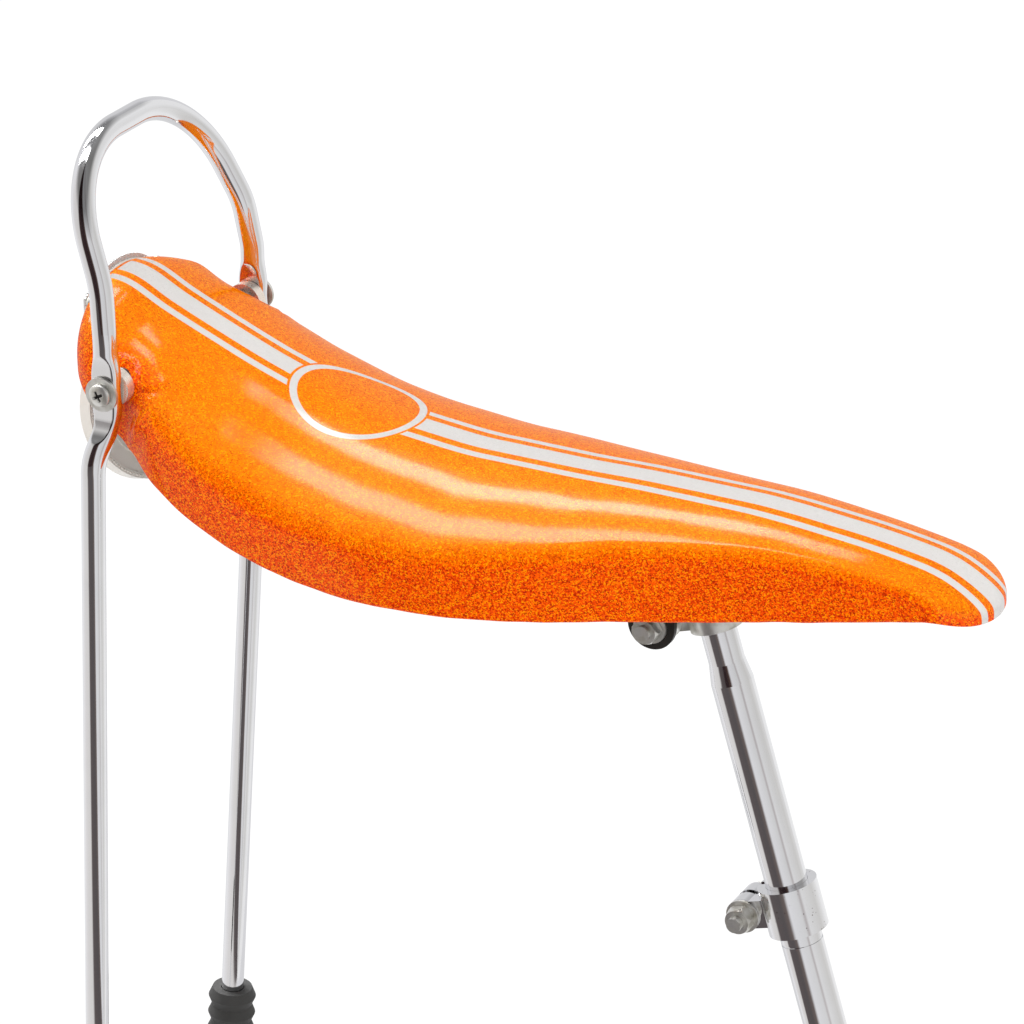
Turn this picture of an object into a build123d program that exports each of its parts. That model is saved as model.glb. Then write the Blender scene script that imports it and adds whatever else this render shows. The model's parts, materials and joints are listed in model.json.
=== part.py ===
from build123d import *
import math
import os

# A banana bicycle seat with its hooped backrest bar and seat post.
# Frame: +X to the nose, +Y to the rider's left, +Z up, in millimetres.
# The origin is on the post's axis, halfway up the stretch that goes into a bicycle frame.
# Seat sizes are measured from the clamp bolt: forward of it, and above it.

# seat post
POST_LEAN = 17.0
POST_RADIUS = 11.1
POST_WALL = 1.6
SHAFT_LENGTH = 120.0
SHAFT_CHAMFER = 1.0
GROOVE_WIDTH = 1.2
GROOVE_DEPTH = 0.4
NECK_RADIUS = 9.4
NECK_BELOW_CLAMP = 40.0
NECK_TAPER = 11.0
NECK_TOP_OVER_CLAMP = 11.5

# saddle clamp on the neck
CLAMP_HEIGHT = 246.0
BOLT_BACK = 26.0
BOLT_RADIUS = 4.0
BAND_WALL = 4.5
BAND_HEIGHT = 20.0
LUG_THICKNESS = 6.5
LUG_GAP = 2.4
LUG_RADIUS = 11.0
LUG_WEB_HEIGHT = 17.6
CUP_RADIUS = 12.0
CUP_THICKNESS = 8.5
CUP_TEETH = 24
CUP_TOOTH_DEPTH = 0.8
CUP_TOOTH_WIDTH = 1.1

# bracket under the seat
EAR_RADIUS = 13.0
EAR_THICKNESS = 3.0
BRACKET_BACK = 34.0
BRACKET_FRONT = 13.0
BRACKET_HALF_WIDTH = 32.0

# hexagon nuts and washers
NUT_ACROSS_FLATS = 13.0
NUT_HEIGHT = 7.0
NUT_CROWN_WIDE = 9.75
NUT_CROWN_NARROW = 6.1
NUT_CROWN_HEIGHT = 9.1
BOLT_HEAD_HEIGHT = 5.6
THREAD_SHOWS = 2.0
WASHER_RADIUS = 9.0
WASHER_THICKNESS = 1.5

# collar of the seat tube
COLLAR_HEIGHT = 80.0
COLLAR_LENGTH = 26.0
COLLAR_WALL = 4.6
COLLAR_LUG_BACK = 24.0
COLLAR_LUG_RADIUS = 9.0
COLLAR_LUG_THICKNESS = 9.0
COLLAR_WEB_HEIGHT = 15.3
COLLAR_SLIT = 3.0
COLLAR_BOLT_RADIUS = 4.0
COLLAR_HEAD_RADIUS = 7.2
COLLAR_HEAD_HEIGHT = 4.9
COLLAR_THREAD_SHOWS = 4.0

# seat shell, from the clamp bolt
SEAT_TAIL = -322.0
SEAT_NOSE = 177.0
SEAT_LOW_POINT = -127.5
SEAT_LOW_HEIGHT = 9.8
BELLY_TAIL_RISE = 88.3
BELLY_NOSE_RISE = 36.5
LIP_START = 150.0
LIP_END_UP = 34.0
LIP_RISE = 5.0
VINYL_EDGE = 4.5
PAN_WALL = 1.5
PAN_DEPTH = 13.5
PAN_TAIL_INSET = 10.0
PAN_NOSE_INSET = 19.0
PAN_OUTLINE_STEPS = 12
BELLY_OVERRUN_ANGLE = 5.0

# seat stations: place forward of the bolt, top height, half width, crown angle, shoulder radius
SEAT_STATIONS = [
    (-328.0, 136.5, 63.0, 25.0, 27.0),
    (-308.0, 131.0, 63.0, 25.0, 27.0),
    (-284.0, 119.3, 64.0, 25.0, 25.0),
    (-257.0, 108.0, 76.0, 31.0, 23.0),
    (-222.0, 94.4, 82.5, 35.6, 21.0),
    (-182.0, 82.2, 85.0, 35.4, 19.5),
    (-142.0, 75.9, 85.5, 34.4, 18.0),
    (-97.0, 72.3, 83.5, 33.3, 16.3),
    (-52.0, 72.2, 73.0, 31.7, 14.6),
    (-2.0, 73.0, 57.0, 29.7, 12.8),
    (48.0, 72.6, 45.0, 26.0, 10.9),
    (98.0, 69.0, 37.0, 22.0, 8.6),
    (143.0, 62.6, 33.3, 22.2, 6.4),
    (178.0, 50.0, 35.0, 22.4, 5.4),
]
FORWARD, TOP, HALF_WIDTH, CROWN_ANGLE, SHOULDER = range(5)
TAIL_ROUND = 25.0
NOSE_ROUND = 26.0
TAIL_MIDDLE = 0.66
NOSE_MIDDLE = 0.4
SHOULDER_LIMIT = 0.6
SIDE_TUCK = 0.08
SECTION_BELOW_EDGE = 20.0
SEAT_END_CAP = 1.2
SEAT_SECTION_COUNT = 22

# side bolts that carry the backrest bar, from the clamp bolt
SIDE_BOLT_BACK = -283.5
SIDE_BOLT_OVER_EDGE = 31.7
SIDE_BOLT_OUT = 74.4
SIDE_SCREW_RADIUS = 3.9
SIDE_HEAD_RADIUS = 6.0
SIDE_HEAD_HEIGHT = 3.2
SIDE_WASHER_RADIUS = 9.2
SIDE_WASHER_THICKNESS = 1.6
SIDE_DISC_RADIUS = 10.0
SIDE_BOSS_RADIUS = 7.0
SIDE_BOSS_IN = 48.0
SIDE_BOSS_REACH = 60.5
SIDE_DISC_STAND = 3.5
SCREW_GRIP = 6.0
FOOT_LENGTH = 18.0
FOOT_THICKNESS = 3.0

# backrest bar
TUBE_RADIUS = 6.35
LEG_LEAN_BACK = 0.0537
LEG_LEAN_OUT = 0.029
LEG_FOOT_BACK = -313.5
LEG_FOOT_OUT = 70.4
LEG_FOOT_UP = -439.5
JOGGLE_BELOW = 36.0
PINCH_BELOW = 19.0
PINCH_ABOVE = 29.0
FLAT_HALF_LENGTH = 13.0
FLAT_HALF_WIDTH = 8.1
FLAT_HALF_THICKNESS = 4.0
PAD_HALF_LENGTH = 22.0
DIMPLE_RADIUS = 14.0
DIMPLE_UNDERCUT = 0.15
DIMPLE_EASE = 0.14
LEG_IN_STRUT = 8.0
HOOP_SIDE_BACK = 3.3
HOOP_SIDE_IN = 3.2
HOOP_SIDE_RISE = 55.5
HOOP_CORNER_BACK = 30.0
HOOP_CORNER_IN = 15.8
HOOP_CORNER_RISE = 118.5
JOGGLE_BEND = 24.0
SIDE_BEND = 40.0
LOWER_CORNER_BEND = 53.0
UPPER_CORNER_BEND = 58.0

# spring struts at the foot of the bar
BOOT_TOP = 101.0
BOOT_BOTTOM = 58.0
BOOT_RADIUS = 13.6
BOOT_RIBS = 4
BOOT_RIB_DEPTH = 2.2
STRUT_RADIUS = 11.0
STRUT_WALL = 2.0
STRUT_BOTTOM = 24.0
EYE_RADIUS = 11.0
EYE_BORE = 5.0
EYE_THICKNESS = 6.0
SHANK_WIDTH = 18.0
SHANK_SINK = 1.0

# round reflector hung under the tail: its top edge, its lean and its turn
REFLECTOR_TOP_BACK = -317.9
REFLECTOR_TOP_OUT = 3.6
REFLECTOR_TOP_BELOW = 4.8
REFLECTOR_LEAN = 18.0
REFLECTOR_TURN = 18.0
REFLECTOR_RADIUS = 38.0
REFLECTOR_DEPTH = 8.0
REFLECTOR_WALL = 2.0
REFLECTOR_RIM_WIDTH = 3.0
REFLECTOR_RIM_RISE = 0.6
REFLECTOR_STEP_RADIUS = 26.0
REFLECTOR_STEP_RISE = 0.8
LENS_DEPTH = 5.5
LENS_CHAMFER = 1.0
STRAP_WIDTH = 12.0
STRAP_THICKNESS = 2.0
STRAP_BELOW_CENTRE = 8.0
STRAP_ABOVE_CENTRE = 14.0
STRAP_RUN = 22.0
STRAP_FOOT = 16.0

# arched trim plate behind the tail's upper edge
TRIM_RADIUS = 52.0
TRIM_TOP_UP = 134.5
TRIM_HALF_WIDTH = 33.0
TRIM_HEIGHT = 16.0
TRIM_THICKNESS = 1.2

# how far a cutting form runs past what it cuts
CUT_WIDE = 130.0
CUT_LONG = 100.0
CUT_LOW = -30.0
CUT_HIGH = 150.0
CUT_OVER = 80.0
RUNNING_GAP = 0.3
SHAFT_GAP = 0.06


def up_the_post(height, back=0.0):
    """Point at a height along the leaning post, moved square to it towards the rear."""
    lean = math.radians(POST_LEAN)
    x = -height * math.sin(lean) - back * math.cos(lean)
    z = height * math.cos(lean) - back * math.sin(lean)
    return Vector(x, 0, z)


def post_place(height=0.0, back=0.0):
    """Location whose Z runs up the post and whose X points forward, square to it."""
    lean = math.radians(POST_LEAN)
    plane = Plane(
        origin=up_the_post(height, back),
        x_dir=(math.cos(lean), 0, math.sin(lean)),
        z_dir=(-math.sin(lean), 0, math.cos(lean)),
    )
    return plane.location


BOLT = up_the_post(CLAMP_HEIGHT, BOLT_BACK)


def seat_point(forward, out, up):
    """Point of the seat, measured from the clamp bolt."""
    return Vector(BOLT.X + forward, out, BOLT.Z + up)


def across(radius, left, right, forward, up):
    """Round bar along Y between two values of Y, at a place of the seat."""
    centre = seat_point(forward, (left + right) / 2, up)
    return Pos(*centre) * Rot(90, 0, 0) * Cylinder(radius, abs(right - left))


def ring(outer, inner, height):
    return Cylinder(outer, height) - Cylinder(inner, height)


# seat post


def make_seat_post():
    bottom = -SHAFT_LENGTH / 2
    top = SHAFT_LENGTH / 2
    swage = CLAMP_HEIGHT - NECK_BELOW_CLAMP
    neck_top = CLAMP_HEIGHT + NECK_TOP_OVER_CLAMP
    outline = Polyline(
        (POST_RADIUS - POST_WALL, bottom - SHAFT_CHAMFER),
        (POST_RADIUS - SHAFT_CHAMFER, bottom - SHAFT_CHAMFER),
        (POST_RADIUS, bottom),
        (POST_RADIUS, top),
        (POST_RADIUS - GROOVE_DEPTH, top),
        (POST_RADIUS - GROOVE_DEPTH, top + GROOVE_WIDTH),
        (POST_RADIUS, top + GROOVE_WIDTH),
        (POST_RADIUS, swage),
        (NECK_RADIUS, swage + NECK_TAPER),
        (NECK_RADIUS, neck_top),
        (NECK_RADIUS - POST_WALL, neck_top),
        (NECK_RADIUS - POST_WALL, swage + NECK_TAPER),
        (POST_RADIUS - POST_WALL, swage),
        close=True,
    )
    half = make_face(Plane.XZ * outline)
    return post_place() * revolve(half, Axis.Z)


# saddle clamp


def make_clamp_body():
    band_radius = NECK_RADIUS + SHAFT_GAP + BAND_WALL
    body = Cylinder(band_radius, BAND_HEIGHT)
    inner = LUG_GAP / 2
    for side in (-1, 1):
        middle = side * (inner + LUG_THICKNESS / 2)
        eye = Pos(-BOLT_BACK, middle, 0) * Rot(90, 0, 0) * Cylinder(LUG_RADIUS, LUG_THICKNESS)
        web = Pos(-BOLT_BACK / 2, middle, 0) * Box(BOLT_BACK, LUG_THICKNESS, LUG_WEB_HEIGHT)
        body += eye + web
    body -= Cylinder(NECK_RADIUS + SHAFT_GAP, BAND_HEIGHT * 2)
    slit = Pos(-BOLT_BACK / 2, 0, 0) * Box(BOLT_BACK, LUG_GAP, BAND_HEIGHT * 2)
    body -= slit
    body -= Pos(-BOLT_BACK, 0, 0) * Rot(90, 0, 0) * Cylinder(BOLT_RADIUS + SHAFT_GAP, CUT_LONG)
    return post_place(CLAMP_HEIGHT) * body


def cup_inner():
    return LUG_GAP / 2 + LUG_THICKNESS + RUNNING_GAP / 2


def cup_outer():
    return cup_inner() + CUP_THICKNESS


def make_clamp_cup(side):
    """Serrated cup between the clamp's lug and the bracket's ear."""
    cup = across(CUP_RADIUS, side * cup_inner(), side * cup_outer(), 0, 0)
    cup -= across(BOLT_RADIUS + SHAFT_GAP, side * cup_inner(), side * cup_outer(), 0, 0)
    for index in range(CUP_TEETH):
        turn = index * 360 / CUP_TEETH
        notch = Pos(CUP_RADIUS, side * cup_outer(), 0) * Rot(0, 45, 0)
        notch = notch * Box(CUP_TOOTH_WIDTH, 2 * CUP_TOOTH_DEPTH, CUP_TOOTH_WIDTH)
        cup -= Pos(*BOLT) * Rot(0, turn, 0) * notch
    return cup


def ear_inner():
    return cup_outer() + RUNNING_GAP


def ear_outer():
    return ear_inner() + EAR_THICKNESS


def hexagon_nut(bore_radius):
    """Nut standing on its face at the origin, along +Z."""
    nut = extrude(RegularPolygon(NUT_ACROSS_FLATS / 2, 6, major_radius=False), NUT_HEIGHT)
    nut &= Pos(0, 0, NUT_HEIGHT / 2) * Cone(NUT_CROWN_WIDE, NUT_CROWN_NARROW, NUT_CROWN_HEIGHT)
    return nut - Cylinder(bore_radius, NUT_HEIGHT * 3)


def make_clamp_bolt():
    """Bolt through the clamp, head on the rider's left."""
    head_face = ear_outer() + WASHER_THICKNESS + 2 * RUNNING_GAP
    tip = head_face + NUT_HEIGHT + THREAD_SHOWS
    bolt = across(BOLT_RADIUS, -tip, head_face, 0, 0)
    head = extrude(RegularPolygon(NUT_ACROSS_FLATS / 2, 6, major_radius=False), BOLT_HEAD_HEIGHT)
    bolt += Pos(BOLT.X, head_face, BOLT.Z) * Rot(-90, 0, 0) * head
    return bolt


def make_clamp_nut():
    face = ear_outer() + WASHER_THICKNESS + 2 * RUNNING_GAP
    return Pos(BOLT.X, -face, BOLT.Z) * Rot(90, 0, 0) * hexagon_nut(BOLT_RADIUS + SHAFT_GAP)


def make_clamp_washers():
    washers = []
    near = ear_outer() + RUNNING_GAP
    for side in (-1, 1):
        disc = across(WASHER_RADIUS, side * near, side * (near + WASHER_THICKNESS), 0, 0)
        disc -= across(BOLT_RADIUS + SHAFT_GAP, side * near, side * (near + WASHER_THICKNESS), 0, 0)
        washers.append(disc)
    return Compound(children=washers)


# collar


def make_collar():
    bore = POST_RADIUS + SHAFT_GAP
    outer = bore + COLLAR_WALL
    collar = Cylinder(outer, COLLAR_LENGTH)
    for side in (-1, 1):
        middle = side * (COLLAR_SLIT / 2 + COLLAR_LUG_THICKNESS / 2)
        eye = Rot(90, 0, 0) * Cylinder(COLLAR_LUG_RADIUS, COLLAR_LUG_THICKNESS)
        web = Box(COLLAR_LUG_BACK, COLLAR_LUG_THICKNESS, COLLAR_WEB_HEIGHT)
        collar += Pos(-COLLAR_LUG_BACK, middle, 0) * eye
        collar += Pos(-COLLAR_LUG_BACK / 2, middle, 0) * web
    collar -= Cylinder(bore, COLLAR_LENGTH * 2)
    reach = COLLAR_LUG_BACK + COLLAR_LUG_RADIUS
    collar -= Pos(-reach / 2, 0, 0) * Box(reach, COLLAR_SLIT, COLLAR_LENGTH * 2)
    hole = Rot(90, 0, 0) * Cylinder(COLLAR_BOLT_RADIUS + SHAFT_GAP, CUT_LONG)
    collar -= Pos(-COLLAR_LUG_BACK, 0, 0) * hole
    return post_place(COLLAR_HEIGHT) * collar


def collar_face():
    return COLLAR_SLIT / 2 + COLLAR_LUG_THICKNESS + RUNNING_GAP / 2


def make_collar_bolt():
    """Bolt with a round head and a washer face, across the collar's lugs."""
    face = collar_face()
    tip = face + WASHER_THICKNESS + NUT_HEIGHT + COLLAR_THREAD_SHOWS
    bolt = Pos(0, (face - tip) / 2, 0) * Rot(90, 0, 0) * Cylinder(COLLAR_BOLT_RADIUS, tip + face)
    head = Cylinder(COLLAR_HEAD_RADIUS, COLLAR_HEAD_HEIGHT)
    bolt += Pos(0, face + COLLAR_HEAD_HEIGHT / 2, 0) * Rot(90, 0, 0) * head
    return post_place(COLLAR_HEIGHT, COLLAR_LUG_BACK) * bolt


def make_collar_nut():
    face = collar_face()
    washer = Cylinder(WASHER_RADIUS, WASHER_THICKNESS)
    washer -= Cylinder(COLLAR_BOLT_RADIUS + SHAFT_GAP, WASHER_THICKNESS * 2)
    nut = Pos(0, -face - WASHER_THICKNESS / 2, 0) * Rot(90, 0, 0) * washer
    nut += Pos(0, -face - WASHER_THICKNESS, 0) * Rot(90, 0, 0) * hexagon_nut(COLLAR_BOLT_RADIUS + SHAFT_GAP)
    return post_place(COLLAR_HEIGHT, COLLAR_LUG_BACK) * nut


# seat


def belly_radius(run, rise):
    """Radius of an arc that starts level at the low point and gains a rise over a run."""
    return (run**2 + rise**2) / (2 * rise)


BELLY_REAR_RUN = SEAT_LOW_POINT - SEAT_TAIL
BELLY_FRONT_RUN = SEAT_NOSE - SEAT_LOW_POINT
BELLY_REAR_RADIUS = belly_radius(BELLY_REAR_RUN, BELLY_TAIL_RISE)
BELLY_FRONT_RADIUS = belly_radius(BELLY_FRONT_RUN, BELLY_NOSE_RISE)


def belly_height(forward):
    """Height of the pan's lower edge above the clamp bolt."""
    run = forward - SEAT_LOW_POINT
    radius = BELLY_FRONT_RADIUS if run > 0 else BELLY_REAR_RADIUS
    return SEAT_LOW_HEIGHT + radius - math.sqrt(radius**2 - run**2)


SIDE_BOLT_UP = belly_height(SIDE_BOLT_BACK) + SIDE_BOLT_OVER_EDGE


def hem_height(forward):
    """Height of the cover's lower edge, which follows the belly and dips round the nose."""
    if forward <= LIP_START:
        return belly_height(forward)
    share = (forward - LIP_START) / (SEAT_NOSE - LIP_START)
    start = belly_height(LIP_START)
    return start + (LIP_END_UP - start) * share + 4 * LIP_RISE * share * (1 - share)


def belly_band(low, high, half_width):
    """Everything between two offsets of the belly's curve, as wide as asked."""
    overrun = math.radians(BELLY_OVERRUN_ANGLE)
    front_angle = math.asin(BELLY_FRONT_RUN / BELLY_FRONT_RADIUS) + overrun
    rear_angle = -math.asin(BELLY_REAR_RUN / BELLY_REAR_RADIUS) - overrun

    def point(radius, angle, rise):
        offset = radius - rise
        forward = SEAT_LOW_POINT + offset * math.sin(angle)
        return seat_point(forward, 0, SEAT_LOW_HEIGHT + radius - offset * math.cos(angle))

    def edge(rise):
        rear = [point(BELLY_REAR_RADIUS, rear_angle * share, rise) for share in (1, 0.5, 0)]
        front = [point(BELLY_FRONT_RADIUS, front_angle * share, rise) for share in (0.5, 1)]
        return rear + front

    lower = edge(low)
    upper = edge(high)
    lines = [
        ThreePointArc(lower[0], lower[1], lower[2]),
        ThreePointArc(lower[2], lower[3], lower[4]),
        Line(lower[4], upper[4]),
        ThreePointArc(upper[4], upper[3], upper[2]),
        ThreePointArc(upper[2], upper[1], upper[0]),
        Line(upper[0], lower[0]),
    ]
    face = make_face(Curve() + lines)
    return extrude(face, half_width, dir=(0, 1, 0), both=True)


def nose_lip():
    """What the cover keeps in front of and below the belly's curve, round the nose."""
    middle = (LIP_START + SEAT_NOSE) / 2
    start = seat_point(LIP_START, 0, hem_height(LIP_START))
    end = seat_point(SEAT_NOSE, 0, hem_height(SEAT_NOSE))
    over = Vector(0, 0, CUT_OVER)
    lines = [
        ThreePointArc(start, seat_point(middle, 0, hem_height(middle)), end),
        Line(end, end + over),
        Line(end + over, start + over),
        Line(start + over, start),
    ]
    return extrude(make_face(Curve() + lines), CUT_WIDE, dir=(0, 1, 0), both=True)


def station(forward, column):
    """A column of the seat's stations, eased between the rows."""
    rows = SEAT_STATIONS
    index = 0
    while index < len(rows) - 2 and rows[index + 1][FORWARD] < forward:
        index += 1

    def rise(at):
        run = rows[at + 1][FORWARD] - rows[at][FORWARD]
        return (rows[at + 1][column] - rows[at][column]) / run

    def slope(at):
        if at == 0 or at == len(rows) - 1:
            return rise(min(at, len(rows) - 2))
        before = rise(at - 1)
        after = rise(at)
        if before * after <= 0:
            return 0.0
        return 2 * before * after / (before + after)

    span = rows[index + 1][FORWARD] - rows[index][FORWARD]
    t = (forward - rows[index][FORWARD]) / span
    start = rows[index][column]
    end = rows[index + 1][column]
    hermite_start = (1 + 2 * t) * (1 - t) ** 2
    hermite_end = t**2 * (3 - 2 * t)
    lean_start = t * (1 - t) ** 2 * span * slope(index)
    lean_end = -(t**2) * (1 - t) * span * slope(index + 1)
    return hermite_start * start + hermite_end * end + lean_start + lean_end


def tail_round(forward):
    """From 0 at the tail's tip to 1 where its rounding ends."""
    share = min((forward - SEAT_TAIL) / TAIL_ROUND, 1)
    return math.sqrt(1 - (1 - share) ** 2)


def nose_round(forward):
    """From 0 at the nose's tip to 1 where its rounding ends."""
    share = min((SEAT_NOSE - forward) / NOSE_ROUND, 1)
    return math.sqrt(1 - (1 - share) ** 2)


def half_width(forward):
    """Half the seat's width: a blunt tail, and a nose rounded as an ellipse."""
    return station(forward, HALF_WIDTH) * math.sqrt(tail_round(forward)) * nose_round(forward)


def top_height(forward):
    full = station(forward, TOP)
    share = TAIL_MIDDLE if forward < 0 else NOSE_MIDDLE
    middle = hem_height(forward) + share * (full - hem_height(forward))
    return middle + (full - middle) * tail_round(forward) ** (1 / 3) * nose_round(forward)


def seat_section(forward):
    """Closed section: flat base, tucked sides, round shoulders and a crowned top."""
    top = top_height(forward)
    half = half_width(forward)
    shoulder = min(station(forward, SHOULDER), SHOULDER_LIMIT * half)
    angle = math.radians(station(forward, CROWN_ANGLE))
    crown = shoulder + (half - shoulder) / math.sin(angle)
    centre_out = (crown - shoulder) * math.sin(angle)
    centre_up = top - crown + (crown - shoulder) * math.cos(angle)
    joint = (centre_out + shoulder * math.sin(angle), centre_up + shoulder * math.cos(angle))
    middle_angle = (math.pi / 2 + angle) / 2
    middle = (
        centre_out + shoulder * math.sin(middle_angle),
        centre_up + shoulder * math.cos(middle_angle),
    )
    widest = (half, centre_up)
    base = hem_height(forward) - SECTION_BELOW_EDGE
    low_out = half * (1 - SIDE_TUCK)
    low_middle = (half * (1 - SIDE_TUCK / 4), (centre_up + base) / 2)

    def place(point, side):
        return seat_point(forward, side * point[0], point[1])

    lines = [
        ThreePointArc(place(joint, -1), seat_point(forward, 0, top), place(joint, 1)),
        ThreePointArc(place(joint, 1), place(middle, 1), place(widest, 1)),
        ThreePointArc(place(widest, 1), place(low_middle, 1), place((low_out, base), 1)),
        Line(place((low_out, base), 1), place((low_out, base), -1)),
        ThreePointArc(place((low_out, base), -1), place(low_middle, -1), place(widest, -1)),
        ThreePointArc(place(widest, -1), place(middle, -1), place(joint, -1)),
    ]
    return make_face(Curve() + lines)


def seat_form():
    """Loft of the sections, closer together at both ends, cut along the hem."""
    centre = (SEAT_TAIL + SEAT_NOSE) / 2
    half = (SEAT_NOSE - SEAT_TAIL) / 2
    first = math.acos(1 - SEAT_END_CAP / half)
    sections = []
    for index in range(SEAT_SECTION_COUNT):
        angle = first + (math.pi - 2 * first) * index / (SEAT_SECTION_COUNT - 1)
        sections.append(seat_section(centre - half * math.cos(angle)))
    return loft(sections) - (belly_band(-CUT_OVER, 0, CUT_WIDE) - nose_lip())


def plan_outline(inset, low, high):
    """Prism of the pan's outline from above, moved in by an inset."""
    tail = SEAT_TAIL + PAN_TAIL_INSET - VINYL_EDGE + inset
    nose = SEAT_NOSE - PAN_NOSE_INSET + VINYL_EDGE - inset
    right = []
    left = []
    for index in range(PAN_OUTLINE_STEPS + 1):
        forward = tail + (nose - tail) * index / PAN_OUTLINE_STEPS
        out = half_width(forward) * (1 - SIDE_TUCK) - inset
        right.append(seat_point(forward, -out, low))
        left.append(seat_point(forward, out, low))
    face = make_face(Polyline(*right, *reversed(left), close=True))
    return extrude(face, high - low, dir=(0, 0, 1))


def make_seat_pan():
    outside = plan_outline(VINYL_EDGE, CUT_LOW, CUT_HIGH)
    inside = plan_outline(VINYL_EDGE + PAN_WALL, CUT_LOW, CUT_HIGH)
    tray = outside & belly_band(0, PAN_DEPTH, CUT_WIDE)
    tray -= inside & belly_band(-PAN_WALL, PAN_DEPTH - PAN_WALL, CUT_WIDE)
    return tray


def rear_bracket_solid(grow=0.0):
    """Cross tube for the side bolts with two feet that stand on the pan."""
    reach = SIDE_BOSS_REACH + grow
    bar = across(SIDE_BOSS_RADIUS + grow, -reach, reach, SIDE_BOLT_BACK, SIDE_BOLT_UP)
    for side in (-1, 1):
        foot_low = belly_height(SIDE_BOLT_BACK)
        centre = seat_point(SIDE_BOLT_BACK, side * SIDE_BOSS_IN, (SIDE_BOLT_UP + foot_low) / 2)
        foot = Box(FOOT_LENGTH + 2 * grow, FOOT_THICKNESS + 2 * grow, SIDE_BOLT_UP - foot_low)
        bar += Pos(*centre) * foot
    return bar - belly_band(-CUT_OVER, PAN_DEPTH + RUNNING_GAP - grow, CUT_WIDE)


def side_disc_inner():
    return SIDE_BOSS_REACH + SIDE_DISC_STAND


def side_disc_outer():
    return SIDE_BOLT_OUT - FLAT_HALF_THICKNESS - RUNNING_GAP


def make_rear_bracket():
    bracket = rear_bracket_solid()
    bore = SIDE_SCREW_RADIUS + SHAFT_GAP
    bracket -= across(bore, -CUT_LONG, CUT_LONG, SIDE_BOLT_BACK, SIDE_BOLT_UP)
    return bracket


def make_seat_cushion():
    cushion = seat_form()
    pocket = plan_outline(VINYL_EDGE - RUNNING_GAP, CUT_LOW, CUT_HIGH)
    cushion -= pocket & belly_band(-SECTION_BELOW_EDGE, PAN_DEPTH + RUNNING_GAP, CUT_WIDE)
    cushion -= rear_bracket_solid(RUNNING_GAP)
    for side in (-1, 1):
        near = side * (side_disc_inner() - RUNNING_GAP)
        far = side * (side_disc_outer() + SIDE_DISC_STAND)
        cushion -= across(SIDE_DISC_RADIUS + RUNNING_GAP, near, far, SIDE_BOLT_BACK, SIDE_BOLT_UP)
        boss = side * (SIDE_BOSS_REACH - RUNNING_GAP)
        cushion -= across(SIDE_SCREW_RADIUS + RUNNING_GAP, boss, far, SIDE_BOLT_BACK, SIDE_BOLT_UP)
    return cushion


def make_front_bracket():
    """Black bracket: a flange that fits the pan and two rounded ears."""
    length = BRACKET_BACK + BRACKET_FRONT
    middle = (BRACKET_FRONT - BRACKET_BACK) / 2
    under = PAN_DEPTH - PAN_WALL - RUNNING_GAP
    flange_place = seat_point(middle, 0, belly_height(middle) + under)
    flange = Pos(*flange_place) * Box(length, 2 * BRACKET_HALF_WIDTH, length)
    bracket = belly_band(under - EAR_THICKNESS, under, CUT_WIDE) & flange
    for side in (-1, 1):
        inner = side * ear_inner()
        outer = side * ear_outer()
        ear = across(EAR_RADIUS, inner, outer, 0, 0)
        height = belly_height(0) + PAN_DEPTH
        centre = seat_point(0, (inner + outer) / 2, height / 2)
        ear += Pos(*centre) * Box(2 * EAR_RADIUS, EAR_THICKNESS, height)
        bracket += ear - belly_band(under - EAR_THICKNESS / 2, CUT_OVER, CUT_WIDE)
        bracket -= across(BOLT_RADIUS + SHAFT_GAP, inner, outer, 0, 0)
    return bracket


def make_tail_trim():
    """Arched plate of sheet metal that stands behind the tail's upper edge."""
    back = SEAT_TAIL + SEAT_END_CAP - RUNNING_GAP - TRIM_THICKNESS / 2
    centre = seat_point(back, 0, TRIM_TOP_UP - TRIM_RADIUS)
    plane = Plane(origin=centre, x_dir=(0, -1, 0), z_dir=(-1, 0, 0))
    arch = Circle(TRIM_RADIUS) - Circle(TRIM_RADIUS - TRIM_HEIGHT)
    arch &= Pos(0, TRIM_RADIUS) * Rectangle(2 * TRIM_HALF_WIDTH, 2 * TRIM_RADIUS)
    return extrude(plane * arch, TRIM_THICKNESS / 2, both=True)


# side bolts


def make_side_disc(side):
    disc = across(SIDE_DISC_RADIUS, side * side_disc_inner(), side * side_disc_outer(),
                  SIDE_BOLT_BACK, SIDE_BOLT_UP)
    bore = SIDE_SCREW_RADIUS + SHAFT_GAP
    return disc - across(bore, -CUT_LONG, CUT_LONG, SIDE_BOLT_BACK, SIDE_BOLT_UP)


def washer_inner():
    return SIDE_BOLT_OUT + FLAT_HALF_THICKNESS + RUNNING_GAP


def washer_outer():
    return washer_inner() + SIDE_WASHER_THICKNESS


def make_side_washer(side):
    washer = across(SIDE_WASHER_RADIUS, side * washer_inner(), side * washer_outer(),
                    SIDE_BOLT_BACK, SIDE_BOLT_UP)
    bore = SIDE_SCREW_RADIUS + SHAFT_GAP
    return washer - across(bore, -CUT_LONG, CUT_LONG, SIDE_BOLT_BACK, SIDE_BOLT_UP)


def make_side_screw(side):
    head_face = washer_outer() + RUNNING_GAP / 3
    screw = across(SIDE_SCREW_RADIUS, side * (SIDE_BOSS_IN - SCREW_GRIP), side * head_face,
                   SIDE_BOLT_BACK, SIDE_BOLT_UP)
    head_side = head_face + SIDE_HEAD_HEIGHT
    head = across(SIDE_HEAD_RADIUS, side * head_face, side * head_side, SIDE_BOLT_BACK, SIDE_BOLT_UP)
    rim = head.edges().filter_by(GeomType.CIRCLE).sort_by(Axis.Y)
    head = chamfer(rim[-1] if side > 0 else rim[0], SIDE_HEAD_HEIGHT / 2)
    return screw + head


# backrest bar


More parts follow.
